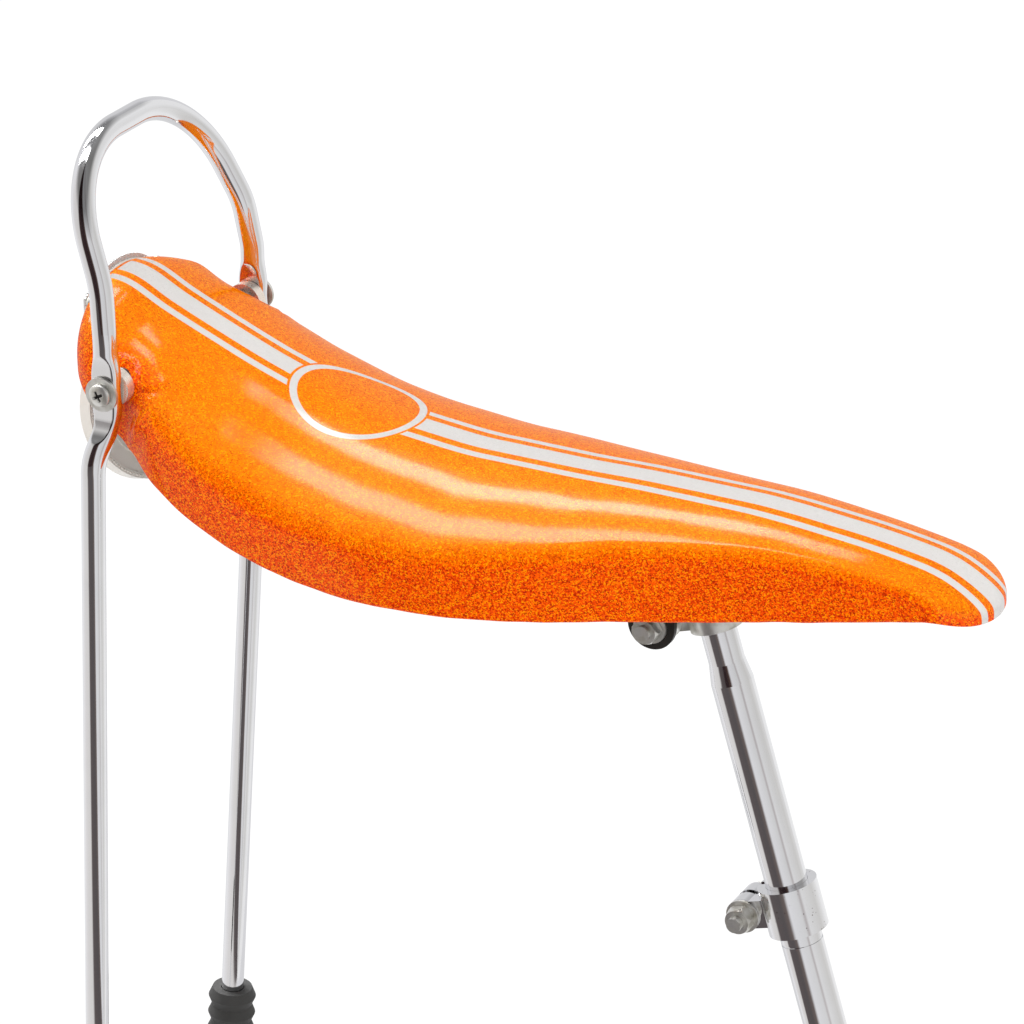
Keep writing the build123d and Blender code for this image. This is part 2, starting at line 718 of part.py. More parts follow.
def leg_point(up, side):
    """Point on a leg's axis at a height above the strut's eye."""
    back = LEG_FOOT_BACK + LEG_LEAN_BACK * up
    out = LEG_FOOT_OUT + LEG_LEAN_OUT * up
    return seat_point(back, side * out, LEG_FOOT_UP + up)


def bar_height():
    """Height of the side bolts above the struts' eyes."""
    return SIDE_BOLT_UP - LEG_FOOT_UP


def bar_path():
    """Centre line of the bent tube, from the right foot over the hoop to the left foot."""
    points = []
    for side in (-1, 1):
        rise = [
            leg_point(BOOT_BOTTOM - LEG_IN_STRUT, side),
            leg_point(bar_height() - JOGGLE_BELOW, side),
            seat_point(SIDE_BOLT_BACK, side * SIDE_BOLT_OUT, SIDE_BOLT_UP - PINCH_BELOW),
            seat_point(SIDE_BOLT_BACK, side * SIDE_BOLT_OUT, SIDE_BOLT_UP + PINCH_ABOVE),
            seat_point(SIDE_BOLT_BACK - HOOP_SIDE_BACK, side * (SIDE_BOLT_OUT - HOOP_SIDE_IN),
                       SIDE_BOLT_UP + HOOP_SIDE_RISE),
            seat_point(SIDE_BOLT_BACK - HOOP_CORNER_BACK, side * (SIDE_BOLT_OUT - HOOP_CORNER_IN),
                       SIDE_BOLT_UP + HOOP_CORNER_RISE),
        ]
        points += rise if side < 0 else reversed(rise)
    bends = [JOGGLE_BEND, JOGGLE_BEND, SIDE_BEND, LOWER_CORNER_BEND, UPPER_CORNER_BEND]
    return FilletPolyline(*points, radius=bends + bends[::-1])


def flat_pad(side):
    """The widened, flattened stretch of a leg at its side bolt."""
    centre = seat_point(SIDE_BOLT_BACK, side * SIDE_BOLT_OUT, SIDE_BOLT_UP)
    plane = Plane(origin=centre, x_dir=(1, 0, 0), z_dir=(0, -1, 0))
    return extrude(plane * Ellipse(FLAT_HALF_WIDTH, PAD_HALF_LENGTH), FLAT_HALF_THICKNESS, both=True)


def dimple(side, face_side):
    """What the press takes from one face of the tube: a flat with round run-outs."""
    length = 2 * (FLAT_HALF_LENGTH + DIMPLE_RADIUS)
    outline = fillet(Rectangle(2 * DIMPLE_RADIUS, length).vertices(), DIMPLE_RADIUS - DIMPLE_EASE)
    out = side * SIDE_BOLT_OUT + face_side * (FLAT_HALF_THICKNESS - DIMPLE_UNDERCUT + DIMPLE_RADIUS)
    centre = seat_point(SIDE_BOLT_BACK, out, SIDE_BOLT_UP)
    plane = Plane(origin=centre, x_dir=(0, 1, 0), z_dir=(1, 0, 0))
    return extrude(plane * outline, 2 * FLAT_HALF_WIDTH, both=True)


def make_sissy_bar():
    path = bar_path()
    section = Plane(origin=path @ 0, z_dir=path % 0) * Circle(TUBE_RADIUS)
    bar = sweep(section, path=path)
    bore = SIDE_SCREW_RADIUS + SHAFT_GAP
    for side in (-1, 1):
        for face_side in (-1, 1):
            bar -= dimple(side, face_side)
        bar += flat_pad(side)
        inner = side * (SIDE_BOLT_OUT - 2 * FLAT_HALF_THICKNESS)
        outer = side * (SIDE_BOLT_OUT + 2 * FLAT_HALF_THICKNESS)
        bar -= across(bore, inner, outer, SIDE_BOLT_BACK, SIDE_BOLT_UP)
    return bar


# spring struts


def leg_place(up, side):
    point = leg_point(up, side)
    along = (leg_point(up + 10, side) - point).normalized()
    return Plane(origin=point, x_dir=(1, 0, 0), z_dir=along).location


def make_boot(side):
    """Rubber bellows round the leg's foot."""
    length = BOOT_TOP - BOOT_BOTTOM
    pitch = length / BOOT_RIBS
    bore = TUBE_RADIUS + RUNNING_GAP
    valley = BOOT_RADIUS - BOOT_RIB_DEPTH
    outline = [(bore, 0), (valley, 0)]
    for index in range(BOOT_RIBS):
        outline.append((BOOT_RADIUS, pitch * (index + 0.5)))
        outline.append((valley, pitch * (index + 1)))
    outline.append((bore, length))
    bellows = revolve(make_face(Plane.XZ * Polyline(*outline, close=True)), Axis.Z)
    return leg_place(BOOT_BOTTOM + RUNNING_GAP, side) * bellows


def make_strut(side):
    """Spring housing, closed above but for the leg's bore, with an eye below."""
    length = BOOT_BOTTOM - STRUT_BOTTOM
    can = Pos(0, 0, length / 2) * Cylinder(STRUT_RADIUS, length)
    can -= Pos(0, 0, length / 2 + STRUT_WALL) * Cylinder(STRUT_RADIUS - STRUT_WALL, length)
    lid = Pos(0, 0, length - STRUT_WALL / 2) * ring(STRUT_RADIUS, TUBE_RADIUS + RUNNING_GAP, STRUT_WALL)
    can = leg_place(STRUT_BOTTOM, side) * (can + lid)
    eye_point = leg_point(0, side)
    eye = Pos(*eye_point) * Rot(90, 0, 0) * Cylinder(EYE_RADIUS, EYE_THICKNESS)
    shank_top = leg_point(STRUT_BOTTOM + SHANK_SINK, side)
    shank_middle = (eye_point + shank_top) * 0.5
    eye += Pos(shank_middle.X, eye_point.Y, shank_middle.Z) * Box(
        SHANK_WIDTH, EYE_THICKNESS, shank_top.Z - eye_point.Z + SHANK_SINK)
    eye -= Pos(*eye_point) * Rot(90, 0, 0) * Cylinder(EYE_BORE, EYE_THICKNESS * 2)
    inside = leg_place(STRUT_BOTTOM + STRUT_WALL, side) * Pos(0, 0, length / 2)
    inside = inside * Cylinder(STRUT_RADIUS - STRUT_WALL, length)
    return can + (eye - inside)


# reflector


def reflector_axes():
    """Centre of the reflector's front face, and its unit vectors across, up and to the rear."""
    lean = math.radians(REFLECTOR_LEAN)
    turn = math.radians(REFLECTOR_TURN)
    sideways = Vector(math.sin(turn), math.cos(turn), 0)
    forward = Vector(math.cos(turn), -math.sin(turn), 0)
    up = forward * -math.sin(lean) + Vector(0, 0, math.cos(lean))
    rear = forward * -math.cos(lean) + Vector(0, 0, -math.sin(lean))
    top_up = belly_height(REFLECTOR_TOP_BACK) - REFLECTOR_TOP_BELOW
    top = seat_point(REFLECTOR_TOP_BACK, REFLECTOR_TOP_OUT, top_up)
    return top - up * REFLECTOR_RADIUS, sideways, up, rear


def reflector_place():
    centre, sideways, _, rear = reflector_axes()
    return Plane(origin=centre, x_dir=sideways, z_dir=rear).location


def make_reflector_housing():
    """Dish open to the rear; its front has a raised rim and a raised middle."""
    inner = REFLECTOR_RADIUS - REFLECTOR_WALL
    rim = REFLECTOR_RADIUS - REFLECTOR_RIM_WIDTH
    outline = Polyline(
        (0, -REFLECTOR_STEP_RISE),
        (REFLECTOR_STEP_RADIUS, -REFLECTOR_STEP_RISE),
        (REFLECTOR_STEP_RADIUS, 0),
        (rim, 0),
        (rim, -REFLECTOR_RIM_RISE),
        (REFLECTOR_RADIUS, -REFLECTOR_RIM_RISE),
        (REFLECTOR_RADIUS, REFLECTOR_DEPTH),
        (inner, REFLECTOR_DEPTH),
        (inner, REFLECTOR_WALL),
        (0, REFLECTOR_WALL),
        close=True,
    )
    return reflector_place() * revolve(make_face(Plane.XZ * outline), Axis.Z)


def make_reflector_lens():
    """Lens in the dish, chamfered round its rear face."""
    radius = REFLECTOR_RADIUS - REFLECTOR_WALL - RUNNING_GAP
    low = REFLECTOR_WALL + RUNNING_GAP
    lens = Pos(0, 0, low + LENS_DEPTH / 2) * Cylinder(radius, LENS_DEPTH)
    lens = chamfer(lens.edges().sort_by(Axis.Z)[-1], LENS_CHAMFER)
    return reflector_place() * lens


def make_reflector_bracket():
    """Bent strap: down the dish's front, forward, then along under the pan's floor."""
    centre, sideways, up, rear = reflector_axes()
    forward = Vector(sideways.Y, -sideways.X, 0)
    under = PAN_DEPTH - PAN_WALL - RUNNING_GAP
    stand = REFLECTOR_STEP_RISE + RUNNING_GAP + STRAP_THICKNESS / 2
    leg_low = centre - rear * stand - up * STRAP_BELOW_CENTRE
    leg_top = centre - rear * stand + up * STRAP_ABOVE_CENTRE
    foot = centre + forward * STRAP_RUN
    floor_up = belly_floor(foot.X - BOLT.X, under - STRAP_THICKNESS / 2)
    foot = Vector(foot.X, foot.Y, BOLT.Z + floor_up)
    strap = strap_stretch(leg_low, leg_top, sideways)
    strap += strap_stretch(leg_top, foot, sideways)
    middle = foot + forward * (STRAP_FOOT / 2)
    turned = Plane(origin=middle, x_dir=forward, z_dir=(0, 0, 1)).location
    footprint = turned * Box(STRAP_FOOT, STRAP_WIDTH, CUT_OVER)
    strap += footprint & belly_band(under - STRAP_THICKNESS, under, CUT_WIDE)
    return strap - belly_band(under, CUT_OVER, CUT_WIDE)


def belly_floor(forward, offset):
    """Height of the belly's rear arc, offset inwards, at a place of the seat."""
    radius = BELLY_REAR_RADIUS - offset
    run = forward - SEAT_LOW_POINT
    return SEAT_LOW_HEIGHT + BELLY_REAR_RADIUS - math.sqrt(radius**2 - run**2)


def strap_stretch(start, end, sideways):
    """Straight stretch of the strap between two points of its middle, with round ends."""
    along = end - start
    plane = Plane(origin=(start + end) * 0.5, x_dir=along, z_dir=sideways)
    outline = SlotCenterToCenter(along.length, STRAP_THICKNESS)
    return extrude(plane * outline, STRAP_WIDTH / 2, both=True)


PIECES = {
    "seat_post": make_seat_post,
    "clamp_body": make_clamp_body,
    "clamp_cup_right": lambda: make_clamp_cup(-1),
    "clamp_cup_left": lambda: make_clamp_cup(1),
    "clamp_bolt": make_clamp_bolt,
    "clamp_nut": make_clamp_nut,
    "clamp_washers": make_clamp_washers,
    "collar": make_collar,
    "collar_bolt": make_collar_bolt,
    "collar_nut": make_collar_nut,
    "seat_cushion": make_seat_cushion,
    "seat_pan": make_seat_pan,
    "front_bracket": make_front_bracket,
    "rear_bracket": make_rear_bracket,
    "tail_trim": make_tail_trim,
    "side_disc_right": lambda: make_side_disc(-1),
    "side_disc_left": lambda: make_side_disc(1),
    "side_washer_right": lambda: make_side_washer(-1),
    "side_washer_left": lambda: make_side_washer(1),
    "side_screw_right": lambda: make_side_screw(-1),
    "side_screw_left": lambda: make_side_screw(1),
    "sissy_bar": make_sissy_bar,
    "boot_right": lambda: make_boot(-1),
    "boot_left": lambda: make_boot(1),
    "strut_right": lambda: make_strut(-1),
    "strut_left": lambda: make_strut(1),
    "reflector_housing": make_reflector_housing,
    "reflector_lens": make_reflector_lens,
    "reflector_bracket": make_reflector_bracket,
}


def main():
    os.makedirs("parts", exist_ok=True)
    for name, make in PIECES.items():
        export_step(make(), f"parts/{name}.step")


main()
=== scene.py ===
import json
import math

import bmesh
import bpy
from mathutils import Matrix, Vector, noise


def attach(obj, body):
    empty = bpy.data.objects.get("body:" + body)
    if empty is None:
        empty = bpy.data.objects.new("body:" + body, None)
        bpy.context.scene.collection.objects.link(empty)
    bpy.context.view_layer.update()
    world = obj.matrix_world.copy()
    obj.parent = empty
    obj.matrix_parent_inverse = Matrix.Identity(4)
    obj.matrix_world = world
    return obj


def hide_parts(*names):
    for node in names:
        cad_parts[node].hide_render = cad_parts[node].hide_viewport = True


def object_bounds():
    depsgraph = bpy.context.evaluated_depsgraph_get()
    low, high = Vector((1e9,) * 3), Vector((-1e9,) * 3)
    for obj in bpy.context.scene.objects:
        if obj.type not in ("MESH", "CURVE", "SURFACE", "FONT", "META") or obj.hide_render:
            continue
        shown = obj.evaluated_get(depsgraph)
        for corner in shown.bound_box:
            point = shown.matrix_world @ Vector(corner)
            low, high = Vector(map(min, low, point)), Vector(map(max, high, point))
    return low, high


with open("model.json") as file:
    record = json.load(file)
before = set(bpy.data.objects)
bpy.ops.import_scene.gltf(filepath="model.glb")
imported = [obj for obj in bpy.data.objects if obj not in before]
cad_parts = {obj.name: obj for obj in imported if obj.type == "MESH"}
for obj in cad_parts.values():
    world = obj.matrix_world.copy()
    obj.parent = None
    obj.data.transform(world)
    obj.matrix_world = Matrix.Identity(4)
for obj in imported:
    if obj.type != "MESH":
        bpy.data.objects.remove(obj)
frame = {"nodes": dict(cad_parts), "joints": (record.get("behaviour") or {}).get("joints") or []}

CAD_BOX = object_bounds()
MM = 0.001

# places taken from the frame
JOINTS = {joint["name"]: joint for joint in frame["joints"]}
CLAMP_BOLT = Vector(JOINTS["saddle_tilt"]["pos_m"])
SIDE_BOLT = Vector(JOINTS["sissy_swing"]["pos_m"])

# camera, as in the photograph, in degrees, metres and lens millimetres
CAMERA_AZIMUTH = 27.3
CAMERA_ELEVATION = 24.3
CAMERA_DISTANCE = 2.4
CAMERA_TARGET = Vector((-0.1857, 0.0, 0.2642))
CAMERA_LENS = 164.9
SENSOR_WIDTH = 36.0

# floor, below the lowest point of the object
FLOOR_BELOW = 0.02
FLOOR_SIZE = 12.0
FLOOR_COLOUR = (0.9, 0.9, 0.9)
FLOOR_GLOW = 0.92
FLOOR_STRENGTH = 1.06

# light
WHITE = (1.0, 1.0, 1.0)
WORLD_STRENGTH = 0.74

# soft lamps: name, azimuth, elevation, distance, width, length and power
LAMPS = [
    ("key_lamp", 10.0, 70.0, 2.6, 3.0, 2.0, 42.0),
    ("front_lamp", 75.0, 0.0, 2.4, 1.5, 1.5, 11.0),
]

# strip lamps over the seat: name, distance across and above it, width and brightness
STRIPS = [
    ("far_strip", 0.98, 2.0, 0.34, 66.0),
    ("near_strip", 0.11, 2.1, 0.38, 50.0),
]

# each strip runs from its start to these ends, with a share of its brightness
STRIP_START = -3.0
STRIP_ENDS = [(-0.58, 0.3), (-0.45, 0.3), (-0.33, 0.25), (-0.2, 0.15)]

# what mirrors see overhead, dimmed between two heights of the direction
CEILING_FROM = 0.45
CEILING_TO = 0.75
CEILING_DIM = 0.3

# what mirrors see round the object: azimuth as for the camera and colour
WALLS = [
    (-180.0, (0.80, 0.80, 0.82)),
    (-130.0, (0.72, 0.72, 0.73)),
    (-100.0, (0.95, 0.95, 0.97)),
    (-62.0, (0.80, 0.78, 0.77)),
    (-34.0, (0.74, 0.72, 0.70)),
    (-26.0, (0.05, 0.03, 0.03)),
    (4.0, (0.03, 0.018, 0.02)),
    (18.0, (0.09, 0.055, 0.045)),
    (26.0, (0.80, 0.80, 0.82)),
    (58.0, (0.72, 0.72, 0.72)),
    (66.0, (0.50, 0.46, 0.46)),
    (74.0, (0.82, 0.82, 0.82)),
    (120.0, (0.70, 0.69, 0.67)),
    (150.0, (0.95, 0.95, 0.95)),
]

# seat stations: place forward of the clamp bolt, top height, half width,
# crown angle and shoulder radius, in millimetres and degrees
SEAT_STATIONS = [
    (-328.0, 136.5, 63.0, 25.0, 27.0),
    (-308.0, 131.0, 63.0, 25.0, 27.0),
    (-284.0, 119.3, 64.0, 25.0, 25.0),
    (-257.0, 108.0, 76.0, 31.0, 23.0),
    (-222.0, 94.4, 82.5, 35.6, 21.0),
    (-182.0, 82.2, 85.0, 35.4, 19.5),
    (-142.0, 75.9, 85.5, 34.4, 18.0),
    (-97.0, 72.3, 83.5, 33.3, 16.3),
    (-52.0, 72.2, 73.0, 31.7, 14.6),
    (-2.0, 73.0, 57.0, 29.7, 12.8),
    (48.0, 72.6, 45.0, 26.0, 10.9),
    (98.0, 69.0, 37.0, 22.0, 8.6),
    (143.0, 62.6, 33.3, 22.2, 6.4),
    (178.0, 50.0, 35.0, 22.4, 5.4),
]
FORWARD, TOP, HALF_WIDTH, CROWN_ANGLE, SHOULDER = range(5)
SEAT_TAIL = -322.0
SEAT_NOSE = 179.0
SEAT_LOW_POINT = -127.5
SEAT_LOW_HEIGHT = 9.8
BELLY_TAIL_RISE = 88.3
BELLY_NOSE_RISE = 36.5
LIP_START = 150.0
LIP_END_UP = 37.0
LIP_RISE = 2.0
TAIL_ROUND = 25.0
NOSE_ROUND = 26.0
TAIL_MIDDLE = 0.66
NOSE_MIDDLE = 0.4
SHOULDER_LIMIT = 0.6
SIDE_TUCK = 0.08
SIDE_TUCK_BELOW = 20.0
PAN_TAIL = -312.0
PAN_NOSE = 157.0
PAN_INSET = 4.5
PAN_DEPTH = 13.5
PAN_WALL = 1.5
PAN_RINGS = 160
RUNNING_GAP = 0.3
COVER_OVER_PAN = 1.6
HEM_RADIUS = 2.6
HEM_SHARE = 0.3

# seat mesh
SEAT_RINGS = 420
FIRST_RING = 0.25
CROWN_POINTS = 26
SHOULDER_POINTS = 20
SIDE_POINTS = 34
HEM_POINTS = 6
POCKET_POINTS = 3
TINY = 1e-6

# side bolts, in millimetres from the clamp bolt
SIDE_BOLT_BACK = -283.5
SIDE_BOLT_UP = 94.0
SIDE_BOLT_OUT = 74.4

# how the side bolts gather the cover: centre forward and up of the side bolt,
# length of the fold, half thickness, height, and its lean from upright in degrees
FOLDS = [
    (13.5, -20.0, 22.0, 3.4, 2.0, 30.0),
    (27.0, 3.0, 30.0, 5.0, 0.8, 14.0),
    (9.0, -31.0, 14.0, 2.6, 0.8, 50.0),
    (6.0, 22.0, 12.0, 2.2, 0.7, -62.0),
    (24.0, 17.0, 13.0, 2.4, 0.6, -68.0),
    (-18.0, 4.0, 26.0, 5.0, 1.1, -8.0),
    (-20.0, 24.0, 12.0, 3.0, 0.6, -40.0),
]
DISC_DENT_RADIUS = 19.0
DISC_DENT = 2.2

# swell of the cover in front of each side bolt
SWELL_FORWARD = -274.0
SWELL_OUT = 51.0
SWELL_RADIUS = 18.0
SWELL_HEIGHT = 2.6

# sag of the cover and wave of its hem: heights, and how close the humps lie
SAG_HEIGHT = 0.2
SAG_SCALE = 0.021
SAG_FINE_SHARE = 0.3
SAG_FINE_SCALE = 0.06
HEM_WAVE = 0.45
HEM_WAVE_SCALE = 0.06
HEM_WAVE_REACH = 7.0
HEM_SIDE_SHIFT = 9.0

# where the folds fade in as a share of the half width, and the calm at both ends
SIDE_FROM = 0.55
SIDE_BLEND = 0.3
CALM_LENGTH = 8.0

# vinyl: flakes a metre, how far each leans, and the clear coat
FLAKE_SCALE = 1500.0
FLAKE_TILT = 0.5
VINYL_COAT = 0.32
VINYL_COAT_ROUGHNESS = 0.11
FLAKE_METAL = 0.05

# painted light and shade: how the cover's colour turns from its shaded to its lit copy with its
# slope, in patches
SHADED_BELOW = 0.15
LIT_ABOVE = 0.8
PATCH_SCALE = 45.0
PATCH_SHIFT = 0.08

# painted shade: darker cover round the side bolts
BOLT_SHADE_INNER = 10 * MM
BOLT_SHADE_OUTER = 27 * MM
BOLT_SHADE_OUT_FROM = 45 * MM
BOLT_SHADE_OUT_TO = 58 * MM
BOLT_SHADE_DARK = 0.95

# stripes and ring painted on the seat, in metres from its middle
PAINT_EDGE = 0.12 * MM
STRIPE_WIDE_EDGE = 6.8 * MM
STRIPE_THIN_INNER = 11.8 * MM
STRIPE_THIN_OUTER = 16.3 * MM
STRIPE_TAIL = -317.5 * MM
RING_PLACE = -178.0 * MM
RING_OUTER = 35.5 * MM
RING_INNER = 31.6 * MM
RING_CLEARANCE = 1.4 * MM

# backrest bar, in millimetres from the clamp bolt, as in the part
TUBE_RADIUS = 6.35
LEG_LEAN_BACK = 0.0537
LEG_LEAN_OUT = 0.029
LEG_FOOT_BACK = -313.5
LEG_FOOT_OUT = 70.4
LEG_FOOT_UP = -439.5
LEG_BOTTOM = 50.0
JOGGLE_BELOW = 36.0
PINCH_BELOW = 19.0
PINCH_ABOVE = 29.0
FLAT_HALF_LENGTH = 13.0
FLAT_HALF_WIDTH = 8.1
FLAT_HALF_THICKNESS = 4.0
PAD_HALF_LENGTH = 22.0
PAD_FULL = 0.35
DIMPLE_RADIUS = 14.0
HOOP_SIDE_BACK = 3.3
HOOP_SIDE_IN = 3.2
HOOP_SIDE_RISE = 55.5
HOOP_CORNER_BACK = 30.0
HOOP_CORNER_IN = 15.8
HOOP_CORNER_RISE = 118.5
BAR_BENDS = [24.0, 24.0, 40.0, 53.0, 58.0]
BAR_STEP = 1.6
BAR_SIDES = 48
ARC_STEPS = 8
STRAIGHT_STRETCH = 4

# side screws
SCREW_RADIUS = 3.9
HEAD_RADIUS = 6.0
HEAD_FACE = 80.6
HEAD_EDGE = 1.5
HEAD_CROWN = 1.7
HEAD_FULLNESS = 2.6
HEAD_EASE = 0.6
SCREW_INNER = 42.0
RECESS_LENGTH = 3.3
RECESS_WIDTH = 0.7
RECESS_DEPTH = 1.9
RECESS_WALL = 0.12
RECESS_END = 1.3
RECESS_TURN = 0.5
# painted shade: recess faces deeper than this take the black finish
RECESS_SHADE_DEPTH = 0.9
HEAD_RINGS = 30
HEAD_SIDES = 96

# round reflector: top edge of its front face, its lean and its turn
REFLECTOR_TOP_BACK = -317.9
REFLECTOR_TOP_OUT = 3.6
REFLECTOR_TOP_BELOW = 4.8
REFLECTOR_LEAN = 18.0
REFLECTOR_TURN = 18.0
REFLECTOR_RADIUS = 38.0
REFLECTOR_RIM_WIDTH = 3.0
REFLECTOR_RIM_RISE = 0.6
BEAD_RADIUS = 0.62
BEAD_COUNT = 110

# edge piping and rivets of the tail's trim plate
PIPING_RADIUS = 1.1
PIPING_PLACE = -320.6
PIPING_HALF_WIDTH = 36.0
PIPING_STEPS = 60
PIPING_SIDES = 14
RIVET_RADIUS = 3.0
RIVET_HEIGHT = 1.5
RIVET_PLACE = (-318.6, 33.0, 122.6)
RIVET_LEAN = (-0.75, 0.42, 0.51)
RIVET_RINGS = 10
RIVET_SIDES = 32
TRIM_RIB_PITCH = 1.5 * MM


# seat form

def station(forward, column):
    """A column of the seat's stations, eased between the rows."""
    rows = SEAT_STATIONS
    index = 0
    while index < len(rows) - 2 and rows[index + 1][FORWARD] < forward:
        index += 1

    def rise(at):
        run = rows[at + 1][FORWARD] - rows[at][FORWARD]
        return (rows[at + 1][column] - rows[at][column]) / run

    def slope(at):
        if at == 0 or at == len(rows) - 1:
            return rise(min(at, len(rows) - 2))
        before = rise(at - 1)
        after = rise(at)
        if before * after <= 0:
            return 0.0
        return 2 * before * after / (before + after)

    span = rows[index + 1][FORWARD] - rows[index][FORWARD]
    t = (forward - rows[index][FORWARD]) / span
    eased = (1 + 2 * t) * (1 - t) ** 2 * rows[index][column]
    eased += t**2 * (3 - 2 * t) * rows[index + 1][column]
    eased += t * (1 - t) ** 2 * span * slope(index)
    return eased - t**2 * (1 - t) * span * slope(index + 1)


def belly_height(forward):
    """Height of the pan's lower edge above the clamp bolt."""
    if forward > SEAT_LOW_POINT:
        full_run, rise = SEAT_NOSE - SEAT_LOW_POINT, BELLY_NOSE_RISE
    else:
        full_run, rise = SEAT_LOW_POINT - SEAT_TAIL, BELLY_TAIL_RISE
    radius = (full_run**2 + rise**2) / (2 * rise)
    return SEAT_LOW_HEIGHT + radius - math.sqrt(radius**2 - (forward - SEAT_LOW_POINT) ** 2)


def hem_height(forward):
    """Height of the cover's lower edge, which dips round the nose."""
    if forward <= LIP_START:
        return belly_height(forward)
    share = (forward - LIP_START) / (SEAT_NOSE - LIP_START)
    start = belly_height(LIP_START)
    return start + (LIP_END_UP - start) * share + 4 * LIP_RISE * share * (1 - share)


def rounding(distance, length):
    """From 0 at a tip to 1 where its rounding ends."""
    share = min(max(distance / length, 0.0), 1.0)
    return math.sqrt(1 - (1 - share) ** 2)


def half_width(forward):
    """Half width of the cover, rounded off at the tail and nose."""
    tail = rounding(forward - SEAT_TAIL, TAIL_ROUND)
    nose = rounding(SEAT_NOSE - forward, NOSE_ROUND)
    return station(forward, HALF_WIDTH) * math.sqrt(tail) * nose


def top_height(forward):
    """Height of the cover's middle, which falls to its tips at the tail and nose."""
    full = station(forward, TOP)
    share = TAIL_MIDDLE if forward < 0 else NOSE_MIDDLE
    middle = hem_height(forward) + share * (full - hem_height(forward))
    tail = rounding(forward - SEAT_TAIL, TAIL_ROUND)
    nose = rounding(SEAT_NOSE - forward, NOSE_ROUND)
    return middle + (full - middle) * tail ** (1 / 3) * nose


def crown_height(forward, out):
    """Height of the plain crown at a place across it."""
    half = half_width(forward)
    shoulder = min(station(forward, SHOULDER), SHOULDER_LIMIT * half)
    angle = math.radians(station(forward, CROWN_ANGLE))
    crown = shoulder + (half - shoulder) / math.sin(angle)
    return top_height(forward) - crown + math.sqrt(crown**2 - min(out, half) ** 2)


def pan_out(forward):
    """Half width of the pan inside the cover."""
    return half_width(forward) * (1 - SIDE_TUCK) - PAN_INSET


def pan_depth(forward):
    """The pan's depth, less where the nose leaves no room for it."""
    room = crown_height(forward, pan_out(forward)) - COVER_OVER_PAN - hem_height(forward)
    return min(PAN_DEPTH, room)


def seat_profile(forward):
    """Half of a cross section, from the crown's middle round the side into the pan's pocket."""
    top = top_height(forward)
    half = half_width(forward)
    low_edge = hem_height(forward)
    shoulder = min(station(forward, SHOULDER), SHOULDER_LIMIT * half)
    angle = math.radians(station(forward, CROWN_ANGLE))
    crown = shoulder + (half - shoulder) / math.sin(angle)
    centre_out = (crown - shoulder) * math.sin(angle)
    centre_up = top - crown + (crown - shoulder) * math.cos(angle)
    points = []
    for index in range(CROWN_POINTS):
        turn = angle * index / CROWN_POINTS
        points.append((crown * math.sin(turn), top - crown * (1 - math.cos(turn))))
    for index in range(SHOULDER_POINTS):
        turn = angle + (math.pi / 2 - angle) * index / SHOULDER_POINTS
        out = centre_out + shoulder * math.sin(turn)
        points.append((out, centre_up + shoulder * math.cos(turn)))
    hem = min(HEM_RADIUS, HEM_SHARE * half, HEM_SHARE * max(centre_up - low_edge, 0.0))
    low = low_edge + hem

    def side_out(up):
        share = (centre_up - up) / (centre_up - low_edge + SIDE_TUCK_BELOW)
        return half * (1 - SIDE_TUCK * share**2)

    for index in range(SIDE_POINTS):
        up = centre_up + (low - centre_up) * index / SIDE_POINTS
        points.append((side_out(up), up))
    hem_out = side_out(low) - hem
    for index in range(HEM_POINTS):
        turn = math.pi / 2 * index / (HEM_POINTS - 1)
        points.append((hem_out + hem * math.cos(turn), low - hem * math.sin(turn)))
    over_pan = PAN_TAIL < forward < PAN_NOSE
    pocket_out = pan_out(forward) + RUNNING_GAP if over_pan else half / 2
    pocket_out = max(min(pocket_out, hem_out), 0.0)
    pocket_up = pan_depth(forward) + RUNNING_GAP if over_pan else 0.0
    points.append((pocket_out, low_edge))
    for index in range(POCKET_POINTS + 1):
        points.append((pocket_out * (1 - index / POCKET_POINTS), low_edge + pocket_up))
    return points


def smooth_step(value):
    """Eases a value from 0 to 1, and holds it there."""
    value = min(max(value, 0.0), 1.0)
    return value * value * (3 - 2 * value)


def fold_height(forward, up):
    """Height of the gathers round a side bolt, at a place of the seat's side."""
    ahead = forward - SIDE_BOLT_BACK
    above = up - SIDE_BOLT_UP
    total = 0.0
    for place, rise, length, thick, height, lean in FOLDS:
        turn = math.radians(lean)
        run = (ahead - place) * math.sin(turn) + (above - rise) * math.cos(turn)
        off = (ahead - place) * math.cos(turn) - (above - rise) * math.sin(turn)
        total += height * math.exp(-((off / thick) ** 2)) * math.exp(-((2 * run / length) ** 2))
    reach = math.hypot(ahead, above)
    return total - DISC_DENT * math.exp(-((reach / DISC_DENT_RADIUS) ** 4))


def swell_height(forward, out):
    """Height of the swell that the side bolts push up in front of them."""
    reach = math.hypot(forward - SWELL_FORWARD, abs(out) - SWELL_OUT)
    return SWELL_HEIGHT * math.exp(-((reach / SWELL_RADIUS) ** 2))


def relief(forward, out, up):
    """How far the cover stands off its plain form at a place."""
    share = abs(out) / max(half_width(forward), 1.0)
    side = smooth_step((share - SIDE_FROM) / SIDE_BLEND)
    place = Vector((forward, out, up))
    sag = SAG_HEIGHT * noise.noise(place * SAG_SCALE)
    sag += SAG_FINE_SHARE * SAG_HEIGHT * noise.noise(place * SAG_FINE_SCALE)
    hem = math.exp(-((up - hem_height(forward)) / HEM_WAVE_REACH) ** 2)
    along_hem = Vector((forward * HEM_WAVE_SCALE, 0.0 if out > 0 else HEM_SIDE_SHIFT, 0.0))
    wave = HEM_WAVE * noise.noise(along_hem) * hem
    calm = smooth_step((forward - SEAT_TAIL) / CALM_LENGTH)
    calm *= smooth_step((SEAT_NOSE - forward) / CALM_LENGTH)
    swell = swell_height(forward, out) if up > SIDE_BOLT_UP else 0.0
    return (sag + wave + swell + side * fold_height(forward, up)) * calm


